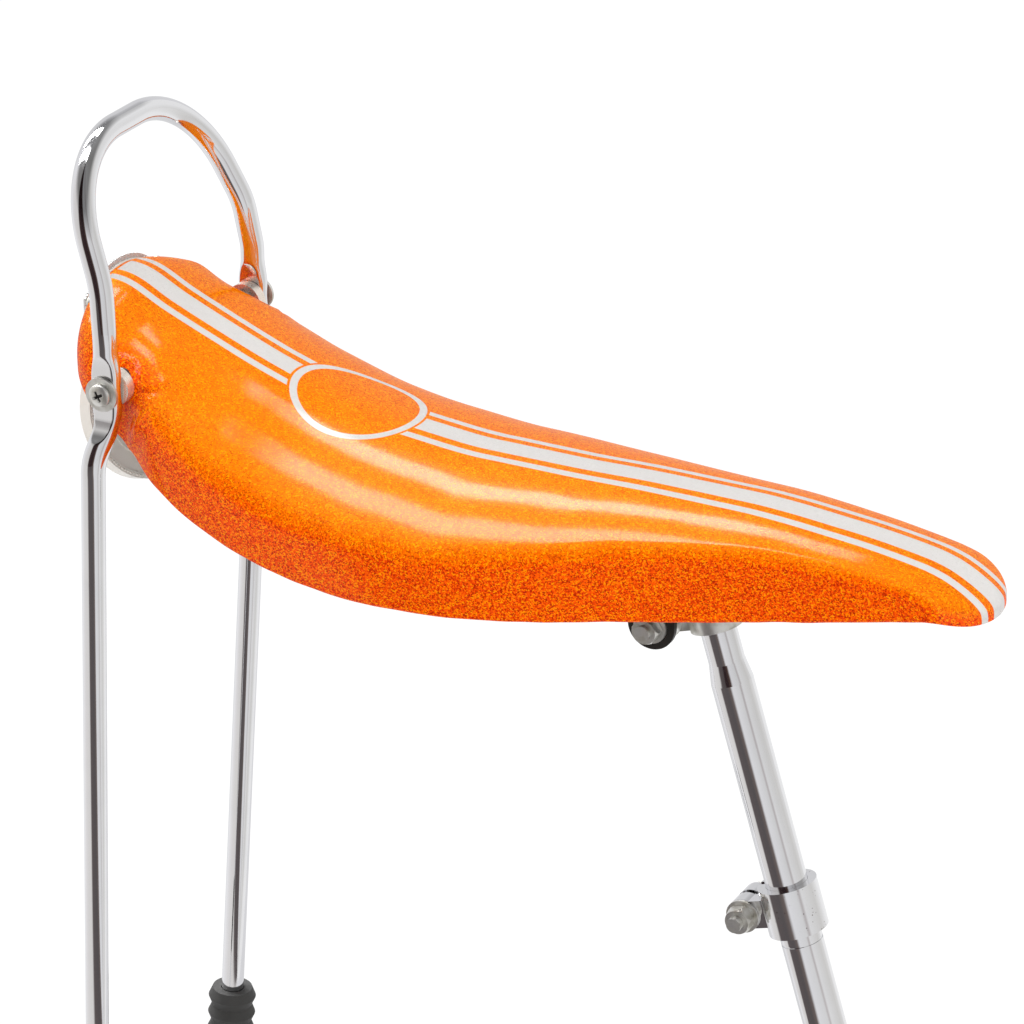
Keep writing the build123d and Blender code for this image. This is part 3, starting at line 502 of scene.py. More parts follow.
def seat_place(forward, out, up):
    """Place in the frame, in metres, of millimetres from the clamp bolt."""
    return CLAMP_BOLT + Vector((forward, out, up)) * MM


def join_rings(mesh, rings):
    """Faces between each ring of vertices and the next."""
    for ring, after in zip(rings, rings[1:]):
        for index in range(len(ring)):
            follow = (index + 1) % len(ring)
            mesh.faces.new((ring[index], after[index], after[follow], ring[follow]))


def make_seat_skin():
    """The cover: a skin over the cross sections, with its gathers and hem."""
    centre = (SEAT_TAIL + SEAT_NOSE) / 2
    half = (SEAT_NOSE - SEAT_TAIL) / 2
    mesh = bmesh.new()
    rings = []
    outside = CROWN_POINTS + SHOULDER_POINTS + SIDE_POINTS + HEM_POINTS
    for index in range(SEAT_RINGS):
        angle = math.pi * (index + FIRST_RING) / (SEAT_RINGS - 1 + 2 * FIRST_RING)
        forward = centre - half * math.cos(angle)
        profile = seat_profile(forward)
        across = []
        for place, (out, up) in enumerate(profile):
            before = profile[max(place - 1, 0)]
            after = profile[min(place + 1, len(profile) - 1)]
            along = Vector((after[0] - before[0], after[1] - before[1]))
            if place >= outside or along.length < TINY:
                across.append((out, up, Vector((0.0, 0.0))))
                continue
            along.normalize()
            across.append((out, up, Vector((-along.y, along.x))))
        loop = []
        for side, half_loop in ((1, across), (-1, across[-2:0:-1])):
            for out, up, normal in half_loop:
                stand = relief(forward, side * out, up) if normal.length else 0.0
                loop.append(mesh.verts.new(seat_place(
                    forward, side * (out + normal.x * stand), up + normal.y * stand)))
        rings.append(loop)
    join_rings(mesh, rings)
    mesh.faces.new(rings[0])
    mesh.faces.new(list(reversed(rings[-1])))
    bmesh.ops.recalc_face_normals(mesh, faces=mesh.faces)
    return new_piece("seat_cover", mesh)


def make_pan():
    """Pan under the cover: a plate with a skirt, open below, that stays inside the cover."""
    mesh = bmesh.new()
    rings = []
    for index in range(PAN_RINGS + 1):
        forward = PAN_TAIL + (PAN_NOSE - PAN_TAIL) * index / PAN_RINGS
        out = pan_out(forward)
        low = hem_height(forward)
        high = low + pan_depth(forward)
        at_end = index in (0, PAN_RINGS)
        under = low if at_end else high - PAN_WALL
        loop = [(-out, low), (-out, high), (0.0, high), (out, high), (out, low),
                (out - PAN_WALL, low), (out - PAN_WALL, under), (0.0, under),
                (PAN_WALL - out, under), (PAN_WALL - out, low)]
        rings.append([mesh.verts.new(seat_place(forward, *place)) for place in loop])
    join_rings(mesh, rings)
    for ring in (rings[0], rings[-1]):
        mesh.faces.new(ring)
    bmesh.ops.recalc_face_normals(mesh, faces=mesh.faces)
    return new_piece("pressed_pan", mesh, smooth=False)


def tube(name, points, radius, sides, squeeze=None):
    """Round tube along a row of points, in seat millimetres, which squeeze may press."""
    mesh = bmesh.new()
    rings = []
    previous = None
    for index, point in enumerate(points):
        before = points[max(index - 1, 0)]
        after = points[min(index + 1, len(points) - 1)]
        tangent = (after - before).normalized()
        if previous is None:
            normal = tangent.orthogonal().normalized()
        else:
            normal = (previous - tangent * previous.dot(tangent)).normalized()
        previous = normal
        other = tangent.cross(normal)
        ring = []
        for side in range(sides):
            turn = 2 * math.pi * side / sides
            place = point + (normal * math.cos(turn) + other * math.sin(turn)) * radius
            if squeeze:
                place = squeeze(place)
            ring.append(mesh.verts.new(seat_place(*place)))
        rings.append(ring)
    join_rings(mesh, rings)
    mesh.faces.new(rings[0])
    mesh.faces.new(list(reversed(rings[-1])))
    bmesh.ops.recalc_face_normals(mesh, faces=mesh.faces)
    return new_piece(name, mesh)


def rounded_path(corners, bends, step):
    """Points along a row of corners, each corner rounded by its own radius."""
    points = [corners[0]]
    for before, corner, after, radius in zip(corners, corners[1:], corners[2:], bends):
        inward = (corner - before).normalized()
        outward = (after - corner).normalized()
        turn = inward.angle(outward)
        axis = inward.cross(outward).normalized()
        start = corner - inward * radius * math.tan(turn / 2)
        centre = start + axis.cross(inward) * radius
        points += straight(points[-1], start, step)
        count = max(int(turn * radius / step), ARC_STEPS)
        for index in range(1, count + 1):
            swing = Matrix.Rotation(turn * index / count, 3, axis)
            points.append(centre + swing @ (start - centre))
    return points + straight(points[-1], corners[-1], step)


def straight(start, end, step):
    """Points from just after start to end."""
    count = max(int((end - start).length / (STRAIGHT_STRETCH * step)), 1)
    return [start.lerp(end, index / count) for index in range(1, count + 1)]


def leg_point(up, side):
    """Point of a leg's middle line at a height over its foot."""
    out = LEG_FOOT_OUT + LEG_LEAN_OUT * up
    return Vector((LEG_FOOT_BACK + LEG_LEAN_BACK * up, side * out, LEG_FOOT_UP + up))


def press(place):
    """Flattens and widens the tube at the side bolts."""
    side = 1 if place.y > 0 else -1
    away = abs(place.z - SIDE_BOLT_UP)
    if away > PAD_HALF_LENGTH + DIMPLE_RADIUS:
        return place
    over = max(away - FLAT_HALF_LENGTH, 0.0)
    limit = FLAT_HALF_THICKNESS + DIMPLE_RADIUS
    if over < DIMPLE_RADIUS:
        limit -= math.sqrt(DIMPLE_RADIUS**2 - over**2)
    off = place.y - side * SIDE_BOLT_OUT
    off = min(max(off, -limit), limit)
    wide = 1.0
    if away < PAD_HALF_LENGTH:
        share = 1 - smooth_step((away / PAD_HALF_LENGTH - PAD_FULL) / (1 - PAD_FULL))
        wide += (FLAT_HALF_WIDTH / TUBE_RADIUS - 1) * share
    forward = SIDE_BOLT_BACK + (place.x - SIDE_BOLT_BACK) * wide
    return Vector((forward, side * SIDE_BOLT_OUT + off, place.z))


def make_bar():
    """Backrest bar: one bent tube, pressed flat at both side bolts."""
    corners = []
    for side in (-1, 1):
        bolt_out = side * SIDE_BOLT_OUT
        hoop_out = side * (SIDE_BOLT_OUT - HOOP_SIDE_IN)
        corner_out = side * (SIDE_BOLT_OUT - HOOP_CORNER_IN)
        rise = [
            leg_point(LEG_BOTTOM, side),
            leg_point(SIDE_BOLT_UP - LEG_FOOT_UP - JOGGLE_BELOW, side),
            Vector((SIDE_BOLT_BACK, bolt_out, SIDE_BOLT_UP - PINCH_BELOW)),
            Vector((SIDE_BOLT_BACK, bolt_out, SIDE_BOLT_UP + PINCH_ABOVE)),
            Vector((SIDE_BOLT_BACK - HOOP_SIDE_BACK, hoop_out, SIDE_BOLT_UP + HOOP_SIDE_RISE)),
            Vector((SIDE_BOLT_BACK - HOOP_CORNER_BACK, corner_out,
                    SIDE_BOLT_UP + HOOP_CORNER_RISE)),
        ]
        corners += rise if side < 0 else rise[::-1]
    points = rounded_path(corners, BAR_BENDS + BAR_BENDS[::-1], BAR_STEP)
    fine = [points[0]]
    for before, after in zip(points, points[1:]):
        near_bolt = abs((before.z + after.z) / 2 - SIDE_BOLT_UP) < PAD_HALF_LENGTH + DIMPLE_RADIUS
        count = max(int((after - before).length / (BAR_STEP / 2)), 1) if near_bolt else 1
        fine += [before.lerp(after, index / count) for index in range(1, count + 1)]
    return tube("bent_bar", fine, TUBE_RADIUS, BAR_SIDES, press)


def lathe_rings(mesh, origin, axis, first, rings, sides, height=None):
    """Rings of vertices about an axis; height may lower a point by where it lies."""
    second = axis.cross(first)
    made = []
    for radius, along in rings:
        loop = []
        for side in range(sides):
            turn = 2 * math.pi * side / sides
            u = radius * math.cos(turn)
            v = radius * math.sin(turn)
            lift = along - height(u, v) if height else along
            loop.append(mesh.verts.new(seat_place(*(origin + first * u + second * v + axis * lift))))
        made.append(loop)
    join_rings(mesh, made)
    return made


def recess(u, v):
    """Depth of the crossed recess in a screw head."""
    deepest = 0.0
    for a, b in ((abs(u), abs(v)), (abs(v), abs(u))):
        wall = smooth_step((RECESS_WIDTH + RECESS_WALL - b) / (2 * RECESS_WALL))
        end = smooth_step((RECESS_LENGTH - a) / RECESS_END)
        deepest = max(deepest, wall * end)
    return RECESS_DEPTH * deepest


def make_side_screw(side):
    """Pan-head screw with a crossed recess, in place of the plain one."""
    mesh = bmesh.new()
    origin = Vector((SIDE_BOLT_BACK, 0.0, SIDE_BOLT_UP))
    axis = Vector((0.0, side, 0.0))
    first = Vector((math.cos(RECESS_TURN), 0.0, math.sin(RECESS_TURN)))
    edge = HEAD_FACE + HEAD_EDGE
    rings = [(SCREW_RADIUS, SCREW_INNER), (SCREW_RADIUS, HEAD_FACE), (HEAD_RADIUS, HEAD_FACE),
             (HEAD_RADIUS, edge)]
    for index in range(1, HEAD_RINGS):
        share = 1 - index / HEAD_RINGS
        crown = HEAD_CROWN * (1 - share**HEAD_FULLNESS) ** HEAD_EASE
        rings.append((HEAD_RADIUS * share, edge + crown))
    made = lathe_rings(mesh, origin, axis, first, rings[:4], HEAD_SIDES)
    crown = lathe_rings(mesh, origin, axis, first, rings[3:], HEAD_SIDES, recess)
    mesh.faces.new(made[0])
    mesh.faces.new(crown[-1])
    bmesh.ops.remove_doubles(mesh, verts=mesh.verts, dist=1e-7)
    bmesh.ops.recalc_face_normals(mesh, faces=mesh.faces)
    second = axis.cross(first)
    # painted shade: the deeper faces of the recess take the black finish
    for face in mesh.faces:
        middle = (face.calc_center_median() - CLAMP_BOLT) / MM - origin
        if recess(middle.dot(first), middle.dot(second)) > RECESS_SHADE_DEPTH:
            face.material_index = 1
    return new_piece("screw_left" if side > 0 else "screw_right", mesh)


def surface_point(forward, out):
    """Point of the cover's upper side at a place across it."""
    profile = seat_profile(forward)
    for (near, high), (far, low) in zip(profile, profile[1:]):
        if near <= abs(out) <= far:
            share = (abs(out) - near) / max(far - near, TINY)
            return Vector((forward, out, high + (low - high) * share))
    return Vector((forward, out, profile[CROWN_POINTS + SHOULDER_POINTS][1]))


def make_piping():
    """Thin cord edge between the cover and the trim plate behind the tail."""
    points = []
    for index in range(PIPING_STEPS + 1):
        out = PIPING_HALF_WIDTH * (2 * index / PIPING_STEPS - 1)
        points.append(surface_point(PIPING_PLACE, out))
    return tube("piping", points, PIPING_RADIUS, PIPING_SIDES)


def make_rivets():
    """Two round rivets in the trim plate behind the tail."""
    mesh = bmesh.new()
    for side in (-1, 1):
        place, out, up = RIVET_PLACE
        axis = Vector((RIVET_LEAN[0], side * RIVET_LEAN[1], RIVET_LEAN[2])).normalized()
        origin = Vector((place, side * out, up))
        rings = [(RIVET_RADIUS, -RIVET_HEIGHT)]
        for index in range(RIVET_RINGS):
            turn = math.pi / 2 * index / RIVET_RINGS
            rings.append((RIVET_RADIUS * math.cos(turn), RIVET_HEIGHT * math.sin(turn)))
        first = axis.orthogonal().normalized()
        made = lathe_rings(mesh, origin, axis, first, rings, RIVET_SIDES)
        mesh.faces.new(made[0])
        mesh.faces.new(made[-1])
    bmesh.ops.recalc_face_normals(mesh, faces=mesh.faces)
    return new_piece("trim_rivets", mesh)


def make_reflector_beads():
    """Ring of small beads on the reflector's raised rim."""
    lean = math.radians(REFLECTOR_LEAN)
    turn = math.radians(REFLECTOR_TURN)
    sideways = Vector((math.sin(turn), math.cos(turn), 0.0))
    ahead = Vector((math.cos(turn), -math.sin(turn), 0.0))
    up = Vector((0.0, 0.0, math.cos(lean))) - ahead * math.sin(lean)
    front = Vector((0.0, 0.0, math.sin(lean))) + ahead * math.cos(lean)
    top_up = belly_height(REFLECTOR_TOP_BACK) - REFLECTOR_TOP_BELOW
    centre = Vector((REFLECTOR_TOP_BACK, REFLECTOR_TOP_OUT, top_up)) - up * REFLECTOR_RADIUS
    reach = REFLECTOR_RADIUS - REFLECTOR_RIM_WIDTH / 2
    mesh = bmesh.new()
    for index in range(BEAD_COUNT):
        angle = 2 * math.pi * index / BEAD_COUNT
        place = centre + (sideways * math.cos(angle) + up * math.sin(angle)) * reach
        place += front * REFLECTOR_RIM_RISE
        matrix = Matrix.Translation(seat_place(*place))
        bmesh.ops.create_icosphere(mesh, subdivisions=2, radius=BEAD_RADIUS * MM, matrix=matrix)
    return new_piece("reflector_beads", mesh)


def new_piece(name, mesh, smooth=True):
    """Object in the scene with the mesh's shape."""
    data = bpy.data.meshes.new(name)
    mesh.to_mesh(data)
    mesh.free()
    piece = bpy.data.objects.new(name, data)
    bpy.context.scene.collection.objects.link(piece)
    if smooth:
        data.shade_smooth()
    return piece


# materials

class Nodes:
    """Short forms for building the node tree of a material or a world."""

    def __init__(self, owner):
        owner.use_nodes = True
        self.owner = owner
        self.tree = owner.node_tree
        self.shader = self.tree.nodes.get("Principled BSDF")
        self.coordinates = self.add("ShaderNodeTexCoord")
        self.place = self.coordinates.outputs["Object"]

    def add(self, kind, **settings):
        node = self.tree.nodes.new(kind)
        for key, value in settings.items():
            setattr(node, key, value)
        return node

    def link(self, source, target):
        self.tree.links.new(source, target)

    def feed(self, socket, value):
        """Links a socket to a value's socket, or sets it to a plain value."""
        if isinstance(value, bpy.types.NodeSocket):
            self.link(value, socket)
        elif socket.type == "RGBA":
            socket.default_value = (*value, 1.0)
        else:
            socket.default_value = value

    def math(self, operation, first, second=0.0, clamp=False):
        node = self.add("ShaderNodeMath", operation=operation, use_clamp=clamp)
        self.feed(node.inputs[0], first)
        self.feed(node.inputs[1], second)
        return node.outputs[0]

    def distance(self, across, along):
        squares = [self.math("POWER", value, 2.0) for value in (across, along)]
        return self.math("SQRT", self.math("ADD", *squares))

    def split(self, vector):
        node = self.add("ShaderNodeSeparateXYZ")
        self.link(vector, node.inputs[0])
        return node.outputs

    def vector_math(self, operation, first, second=None, scale=None):
        node = self.add("ShaderNodeVectorMath", operation=operation)
        for slot, value in ((0, first), (1, second), ("Scale", scale)):
            if value is not None:
                self.feed(node.inputs[slot], value)
        return node.outputs[0]

    def noise(self, scale, detail=2.0, place=None):
        node = self.add("ShaderNodeTexNoise")
        node.inputs["Scale"].default_value = scale
        node.inputs["Detail"].default_value = detail
        self.link(place or self.place, node.inputs["Vector"])
        return node.outputs["Fac"]

    def cells(self, scale, output="Color"):
        node = self.add("ShaderNodeTexVoronoi")
        node.inputs["Scale"].default_value = scale
        self.link(self.place, node.inputs["Vector"])
        return node.outputs[output]

    def stretched(self, x, y, z):
        node = self.add("ShaderNodeMapping")
        node.inputs["Scale"].default_value = (x, y, z)
        self.link(self.place, node.inputs["Vector"])
        return node.outputs["Vector"]

    def ramp(self, source, stops):
        node = self.add("ShaderNodeValToRGB")
        elements = node.color_ramp.elements
        while len(elements) < len(stops):
            elements.new(0.5)
        for element, (position, colour) in zip(elements, stops):
            element.position = position
            element.color = (*colour, 1.0)
        self.link(source, node.inputs["Fac"])
        return node.outputs["Color"]

    def mix(self, share, first, second):
        node = self.add("ShaderNodeMix", data_type="RGBA")
        for slot, value in ((0, share), (6, first), (7, second)):
            self.feed(node.inputs[slot], value)
        return node.outputs[2]

    def bump(self, height, strength, distance, target="Normal"):
        """Bumps the shader's surface, or its coat, by a height."""
        node = self.add("ShaderNodeBump")
        node.inputs["Strength"].default_value = strength
        node.inputs["Distance"].default_value = distance
        self.link(height, node.inputs["Height"])
        self.link(node.outputs["Normal"], self.shader.inputs[target])

    def map_range(self, source, low, high, to_low, to_high):
        node = self.add("ShaderNodeMapRange")
        for name, value in (("From Min", low), ("From Max", high),
                            ("To Min", to_low), ("To Max", to_high)):
            node.inputs[name].default_value = value
        self.link(source, node.inputs["Value"])
        return node.outputs["Result"]

    def set(self, **values):
        names = {"metallic": "Metallic", "roughness": "Roughness", "coat": "Coat Weight",
                 "coat_roughness": "Coat Roughness", "colour": "Base Color",
                 "specular": "Specular IOR Level"}
        for key, value in values.items():
            self.feed(self.shader.inputs[names[key]], value)


def material_nodes(name):
    """Nodes of a new material."""
    return Nodes(bpy.data.materials.new(name))


def band(nodes, distance, inner, outer, soft):
    """1 where a distance lies between inner and outer, with soft edges."""
    rise = nodes.map_range(distance, inner - soft, inner + soft, 0.0, 1.0)
    fall = nodes.map_range(distance, outer - soft, outer + soft, 1.0, 0.0)
    return nodes.math("MULTIPLY", rise, fall)


def painted_share(nodes, place):
    """1 where the seat's stripes and ring are painted, from a place on it."""
    across = nodes.math("ABSOLUTE", place["Y"])
    wide = nodes.map_range(across, STRIPE_WIDE_EDGE - PAINT_EDGE, STRIPE_WIDE_EDGE + PAINT_EDGE,
                           1.0, 0.0)
    thin = band(nodes, across, STRIPE_THIN_INNER, STRIPE_THIN_OUTER, PAINT_EDGE)
    stripes = nodes.math("ADD", wide, thin, clamp=True)
    forward = nodes.math("SUBTRACT", place["X"], CLAMP_BOLT.x + RING_PLACE)
    distance = nodes.distance(forward, place["Y"])
    clear = RING_OUTER + RING_CLEARANCE
    outside = nodes.map_range(distance, clear - PAINT_EDGE, clear + PAINT_EDGE, 0.0, 1.0)
    tail_end = CLAMP_BOLT.x + STRIPE_TAIL
    ahead = nodes.map_range(place["X"], tail_end - PAINT_EDGE, tail_end + PAINT_EDGE, 0.0, 1.0)
    stripes = nodes.math("MULTIPLY", nodes.math("MULTIPLY", stripes, outside), ahead)
    ring = band(nodes, distance, RING_INNER, RING_OUTER, PAINT_EDGE)
    return nodes.math("ADD", stripes, ring, clamp=True)


def lit_share(nodes, place):
    """Painted light: 1 where the cover faces up, 0 on its sides and in the painted shade round the
    side bolts.
    """
    facing = nodes.split(nodes.coordinates.outputs["Normal"])
    patches = nodes.map_range(nodes.noise(PATCH_SCALE), 0.3, 0.7, -PATCH_SHIFT, PATCH_SHIFT)
    turned = nodes.math("ADD", facing["Z"], patches)
    upward = nodes.map_range(turned, SHADED_BELOW, LIT_ABOVE, 0.0, 1.0)
    # painted shade round the side bolts, on the cover's sides only
    reach = nodes.distance(nodes.math("SUBTRACT", place["X"], SIDE_BOLT.x),
                           nodes.math("SUBTRACT", place["Z"], SIDE_BOLT.z))
    bolt_shade = nodes.map_range(reach, BOLT_SHADE_INNER, BOLT_SHADE_OUTER, BOLT_SHADE_DARK, 0.0)
    across = nodes.math("ABSOLUTE", place["Y"])
    sideways = nodes.map_range(across, BOLT_SHADE_OUT_FROM, BOLT_SHADE_OUT_TO, 0.0, 1.0)
    bolt_shade = nodes.math("MULTIPLY", bolt_shade, sideways)
    return nodes.math("MULTIPLY", upward, nodes.math("SUBTRACT", 1.0, bolt_shade))


def vinyl_material():
    """Orange metal-flake vinyl with pale painted stripes and a plain ring, and painted light and
    shade from its slope.
    """
    nodes = material_nodes("vinyl")
    place = nodes.split(nodes.place)
    paint = painted_share(nodes, place)
    cells = nodes.cells(FLAKE_SCALE)
    flakes = nodes.add("ShaderNodeSeparateColor")
    nodes.link(cells, flakes.inputs[0])
    # painted light and shade: a lit copy of the flake colours where the cover faces up, and a
    # darker, redder shaded copy on its sides
    lit = nodes.ramp(flakes.outputs[0], [
        (0.0, (0.64, 0.09, 0.0)),
        (0.3, (0.84, 0.16, 0.0)),
        (0.75, (0.93, 0.215, 0.0)),
        (1.0, (0.98, 0.39, 0.002)),
    ])
    shaded = nodes.ramp(flakes.outputs[0], [
        (0.0, (0.42, 0.012, 0.0)),
        (0.3, (0.82, 0.05, 0.0)),
        (0.7, (1.0, 0.115, 0.0)),
        (1.0, (1.0, 0.33, 0.0)),
    ])
    orange = nodes.mix(lit_share(nodes, place), shaded, lit)
    pale = nodes.mix(nodes.noise(900.0), (0.64, 0.618, 0.60), (0.69, 0.668, 0.65))
    bare = nodes.math("SUBTRACT", 1.0, paint)
    nodes.set(colour=nodes.mix(paint, orange, pale), specular=0.0,
              metallic=nodes.math("MULTIPLY", bare, FLAKE_METAL),
              roughness=nodes.map_range(flakes.outputs[1], 0.0, 1.0, 0.25, 0.6),
              coat=VINYL_COAT, coat_roughness=VINYL_COAT_ROUGHNESS)
    tilt = nodes.vector_math("SUBTRACT", cells, (0.5, 0.5, 0.5))
    lean = nodes.vector_math("SCALE", tilt, scale=FLAKE_TILT)
    geometry = nodes.add("ShaderNodeNewGeometry")
    tilted = nodes.vector_math("ADD", geometry.outputs["Normal"], lean)
    nodes.link(nodes.vector_math("NORMALIZE", tilted), nodes.shader.inputs["Normal"])
    nodes.bump(nodes.noise(420.0), 0.10, 0.10 * MM, "Coat Normal")
    return nodes.owner


def trim_material():
    """Dull aluminium sheet with fine upright ribs."""
    nodes = material_nodes("tail_trim")
    turns = nodes.math("MULTIPLY", nodes.split(nodes.place)["Y"], 2 * math.pi / TRIM_RIB_PITCH)
    stains = nodes.noise(140.0, 4.0)
    nodes.set(colour=nodes.mix(stains, (0.58, 0.58, 0.57), (0.76, 0.76, 0.76)), metallic=0.35,
              roughness=nodes.map_range(stains, 0.3, 0.7, 0.45, 0.3))
    nodes.bump(nodes.math("SINE", turns), 0.8, 0.4 * MM)
    return nodes.owner


def piping_material():
    """Pale edge cord, yellowed in places."""
    nodes = material_nodes("piping")
    tone = nodes.noise(300.0, 3.0)
    nodes.set(colour=nodes.mix(tone, (0.55, 0.52, 0.47), (0.74, 0.71, 0.66)), roughness=0.45)
    return nodes.owner


def chrome_material(name="chrome", pits=0.0):
    """Old chrome plate: bright, with faint haze, hairlines and a few pits."""
    nodes = material_nodes(name)
    haze = nodes.noise(60.0, 4.0)
    fine = nodes.noise(900.0, 2.0, nodes.stretched(1.0, 1.0, 0.15))
    roughness = nodes.math("ADD", nodes.map_range(haze, 0.35, 0.75, 0.04, 0.10),
                           nodes.map_range(fine, 0.5, 0.8, 0.0, 0.05))
    colour = nodes.mix(haze, (0.80, 0.80, 0.81), (0.74, 0.74, 0.755))
    if pits:
        specks = nodes.map_range(nodes.cells(420.0, "Distance"), 0.08, 0.2, 1.0, 0.0)
        patches = nodes.map_range(nodes.noise(70.0, 3.0), 0.52, 0.62, 0.0, pits)
        spots = nodes.math("MULTIPLY", specks, patches)
        colour = nodes.mix(spots, colour, (0.10, 0.065, 0.05))
    nodes.set(colour=colour, metallic=1.0, roughness=roughness)
    nodes.bump(fine, 0.03, 0.05 * MM)
    return nodes.owner


def zinc_material():
    """Dull zinc plate with faint stains."""
    nodes = material_nodes("zinc")
    stains = nodes.noise(160.0, 4.0)
    colour = nodes.ramp(stains, [(0.3, (0.50, 0.48, 0.41)), (0.5, (0.70, 0.69, 0.65)),
                                 (0.7, (0.80, 0.80, 0.78))])
    nodes.set(colour=colour, metallic=0.9, roughness=nodes.map_range(stains, 0.3, 0.7, 0.5, 0.3))
    nodes.bump(nodes.noise(1400.0), 0.15, 0.1 * MM)
    return nodes.owner


def disc_material():
    """Pale satin nickel."""
    nodes = material_nodes("side_disc")
    tone = nodes.noise(220.0, 3.0)
    nodes.set(colour=nodes.mix(tone, (0.80, 0.71, 0.62), (0.88, 0.81, 0.73)), metallic=0.75,
              roughness=nodes.map_range(tone, 0.3, 0.7, 0.22, 0.34))
    nodes.bump(nodes.noise(1400.0), 0.08, 0.1 * MM)
    return nodes.owner


def black_steel_material():
    """Black paint, worn grey in places."""
    nodes = material_nodes("black_steel")
    wear = nodes.noise(90.0, 5.0)
    colour = nodes.ramp(wear, [(0.0, (0.012, 0.010, 0.009)), (0.62, (0.022, 0.018, 0.015)),
                               (0.8, (0.06, 0.045, 0.035))])
    nodes.set(colour=colour, metallic=0.3, roughness=nodes.map_range(wear, 0.3, 0.8, 0.35, 0.6))
    nodes.bump(nodes.noise(1200.0), 0.1, 0.1 * MM)
    return nodes.owner


def rubber_material():
    """Matt black rubber with a little dust."""
    nodes = material_nodes("rubber")
    dust = nodes.noise(130.0, 4.0)
    nodes.set(colour=nodes.mix(dust, (0.018, 0.018, 0.018), (0.05, 0.048, 0.045)),
              roughness=nodes.map_range(dust, 0.3, 0.7, 0.55, 0.8))
    nodes.bump(nodes.noise(2000.0), 0.2, 0.1 * MM)
    return nodes.owner


def rim_material():
    """Aged off-white moulded plastic."""
    nodes = material_nodes("reflector_rim")
    tone = nodes.noise(80.0, 3.0)
    nodes.set(colour=nodes.mix(tone, (0.78, 0.73, 0.66), (0.88, 0.84, 0.78)),
              roughness=nodes.map_range(tone, 0.3, 0.7, 0.3, 0.45), coat=0.3)
    nodes.bump(nodes.noise(1500.0), 0.05, 0.1 * MM)
    return nodes.owner


def lens_material():
    """Red reflector plastic with a pattern of small prisms."""
    nodes = material_nodes("reflector_lens")
    cells = nodes.cells(330.0, "Distance")
    colour = nodes.ramp(cells, [(0.0, (0.75, 0.01, 0.012)), (0.6, (0.42, 0.0, 0.006)),
                                (1.0, (0.2, 0.0, 0.003))])
    nodes.set(colour=colour, roughness=0.18, coat=1.0, coat_roughness=0.05)
    nodes.bump(cells, 0.6, 0.6 * MM)
    return nodes.owner


def paint_node(node, material):
    """Gives a node of the frame its finish."""
    data = frame["nodes"][node].data
    data.materials.clear()
    data.materials.append(material)
    data.shade_smooth()


# stage

def add_camera():
    """Camera at the photograph's viewing angle."""
    data = bpy.data.cameras.new("camera")
    data.lens = CAMERA_LENS
    data.sensor_width = SENSOR_WIDTH
    camera = bpy.data.objects.new("camera", data)
    bpy.context.scene.collection.objects.link(camera)
    back = towards(CAMERA_AZIMUTH, CAMERA_ELEVATION)
    camera.location = CAMERA_TARGET + back * CAMERA_DISTANCE
    camera.rotation_euler = back.to_track_quat("Z", "Y").to_euler()
    bpy.context.scene.camera = camera


def towards(azimuth, elevation):
    """Unit vector from the object to a place seen at that azimuth and elevation."""
    turn = math.radians(azimuth)
    rise = math.radians(elevation)
    return Vector((math.sin(turn) * math.cos(rise), -math.cos(turn) * math.cos(rise),
                   math.sin(rise)))


def add_area(name, place, width, length, power):
    """Rectangular lamp at a place from the camera's target, which the camera doesn't see."""
    data = bpy.data.lights.new(name, "AREA")
    data.shape = "RECTANGLE"
    data.size = width
    data.size_y = length
    data.energy = power
    lamp = bpy.data.objects.new(name, data)
    bpy.context.scene.collection.objects.link(lamp)
    lamp.location = CAMERA_TARGET + place
    lamp.visible_camera = False
    return lamp


def add_lamp(name, place, width, length, power):
    """Soft lamp aimed at the object, which mirrors don't see."""
    lamp = add_area(name, place, width, length, power)
    lamp.rotation_euler = place.to_track_quat("Z", "Y").to_euler()
    lamp.visible_glossy = False


def add_strip(name, place, width, length, power):
    """Long lamp over the object, along the seat, for its reflection alone."""
    lamp = add_area(name, place, length, width, power)
    across = Vector((0.0, place.y, place.z)).normalized()
    along = Vector((1.0, 0.0, 0.0))
    lamp.rotation_euler = Matrix((along, across.cross(along), across)).transposed().to_euler()
    lamp.visible_diffuse = False


def surroundings(nodes, direction):
    """What mirrors see all round: pale walls with a few dark and bright uprights."""
    split = nodes.split(direction)
    angle = nodes.math("ARCTAN2", split["X"], nodes.math("MULTIPLY", split["Y"], -1.0))
    turn = nodes.map_range(angle, -math.pi, math.pi, 0.0, 1.0)
    return nodes.ramp(turn, [((azimuth + 180.0) / 360.0, colour) for azimuth, colour in WALLS])


def add_floor():
    """Pale floor that keeps a soft shadow. Mirrors see the walls in it."""
    mesh = bmesh.new()
    bmesh.ops.create_grid(mesh, x_segments=1, y_segments=1, size=FLOOR_SIZE / 2)
    floor = new_piece("floor", mesh, smooth=False)
    floor.location = (CAMERA_TARGET.x, CAMERA_TARGET.y, CAD_BOX[0].z - FLOOR_BELOW)
    nodes = material_nodes("floor")
    nodes.set(colour=FLOOR_COLOUR, roughness=0.9, specular=0.0)
    path = nodes.add("ShaderNodeLightPath").outputs
    seen = nodes.math("MAXIMUM", path["Is Camera Ray"], path["Is Glossy Ray"])
    walls = surroundings(nodes, nodes.place)
    glow = nodes.add("ShaderNodeEmission")
    nodes.link(nodes.mix(path["Is Glossy Ray"], WHITE, walls), glow.inputs["Color"])
    glow.inputs["Strength"].default_value = FLOOR_STRENGTH
    mix = nodes.add("ShaderNodeMixShader")
    nodes.link(nodes.math("MULTIPLY", seen, FLOOR_GLOW), mix.inputs[0])
    nodes.link(nodes.shader.outputs[0], mix.inputs[1])
    nodes.link(glow.outputs[0], mix.inputs[2])
    nodes.link(mix.outputs[0], nodes.tree.nodes["Material Output"].inputs["Surface"])
    floor.data.materials.append(nodes.owner)


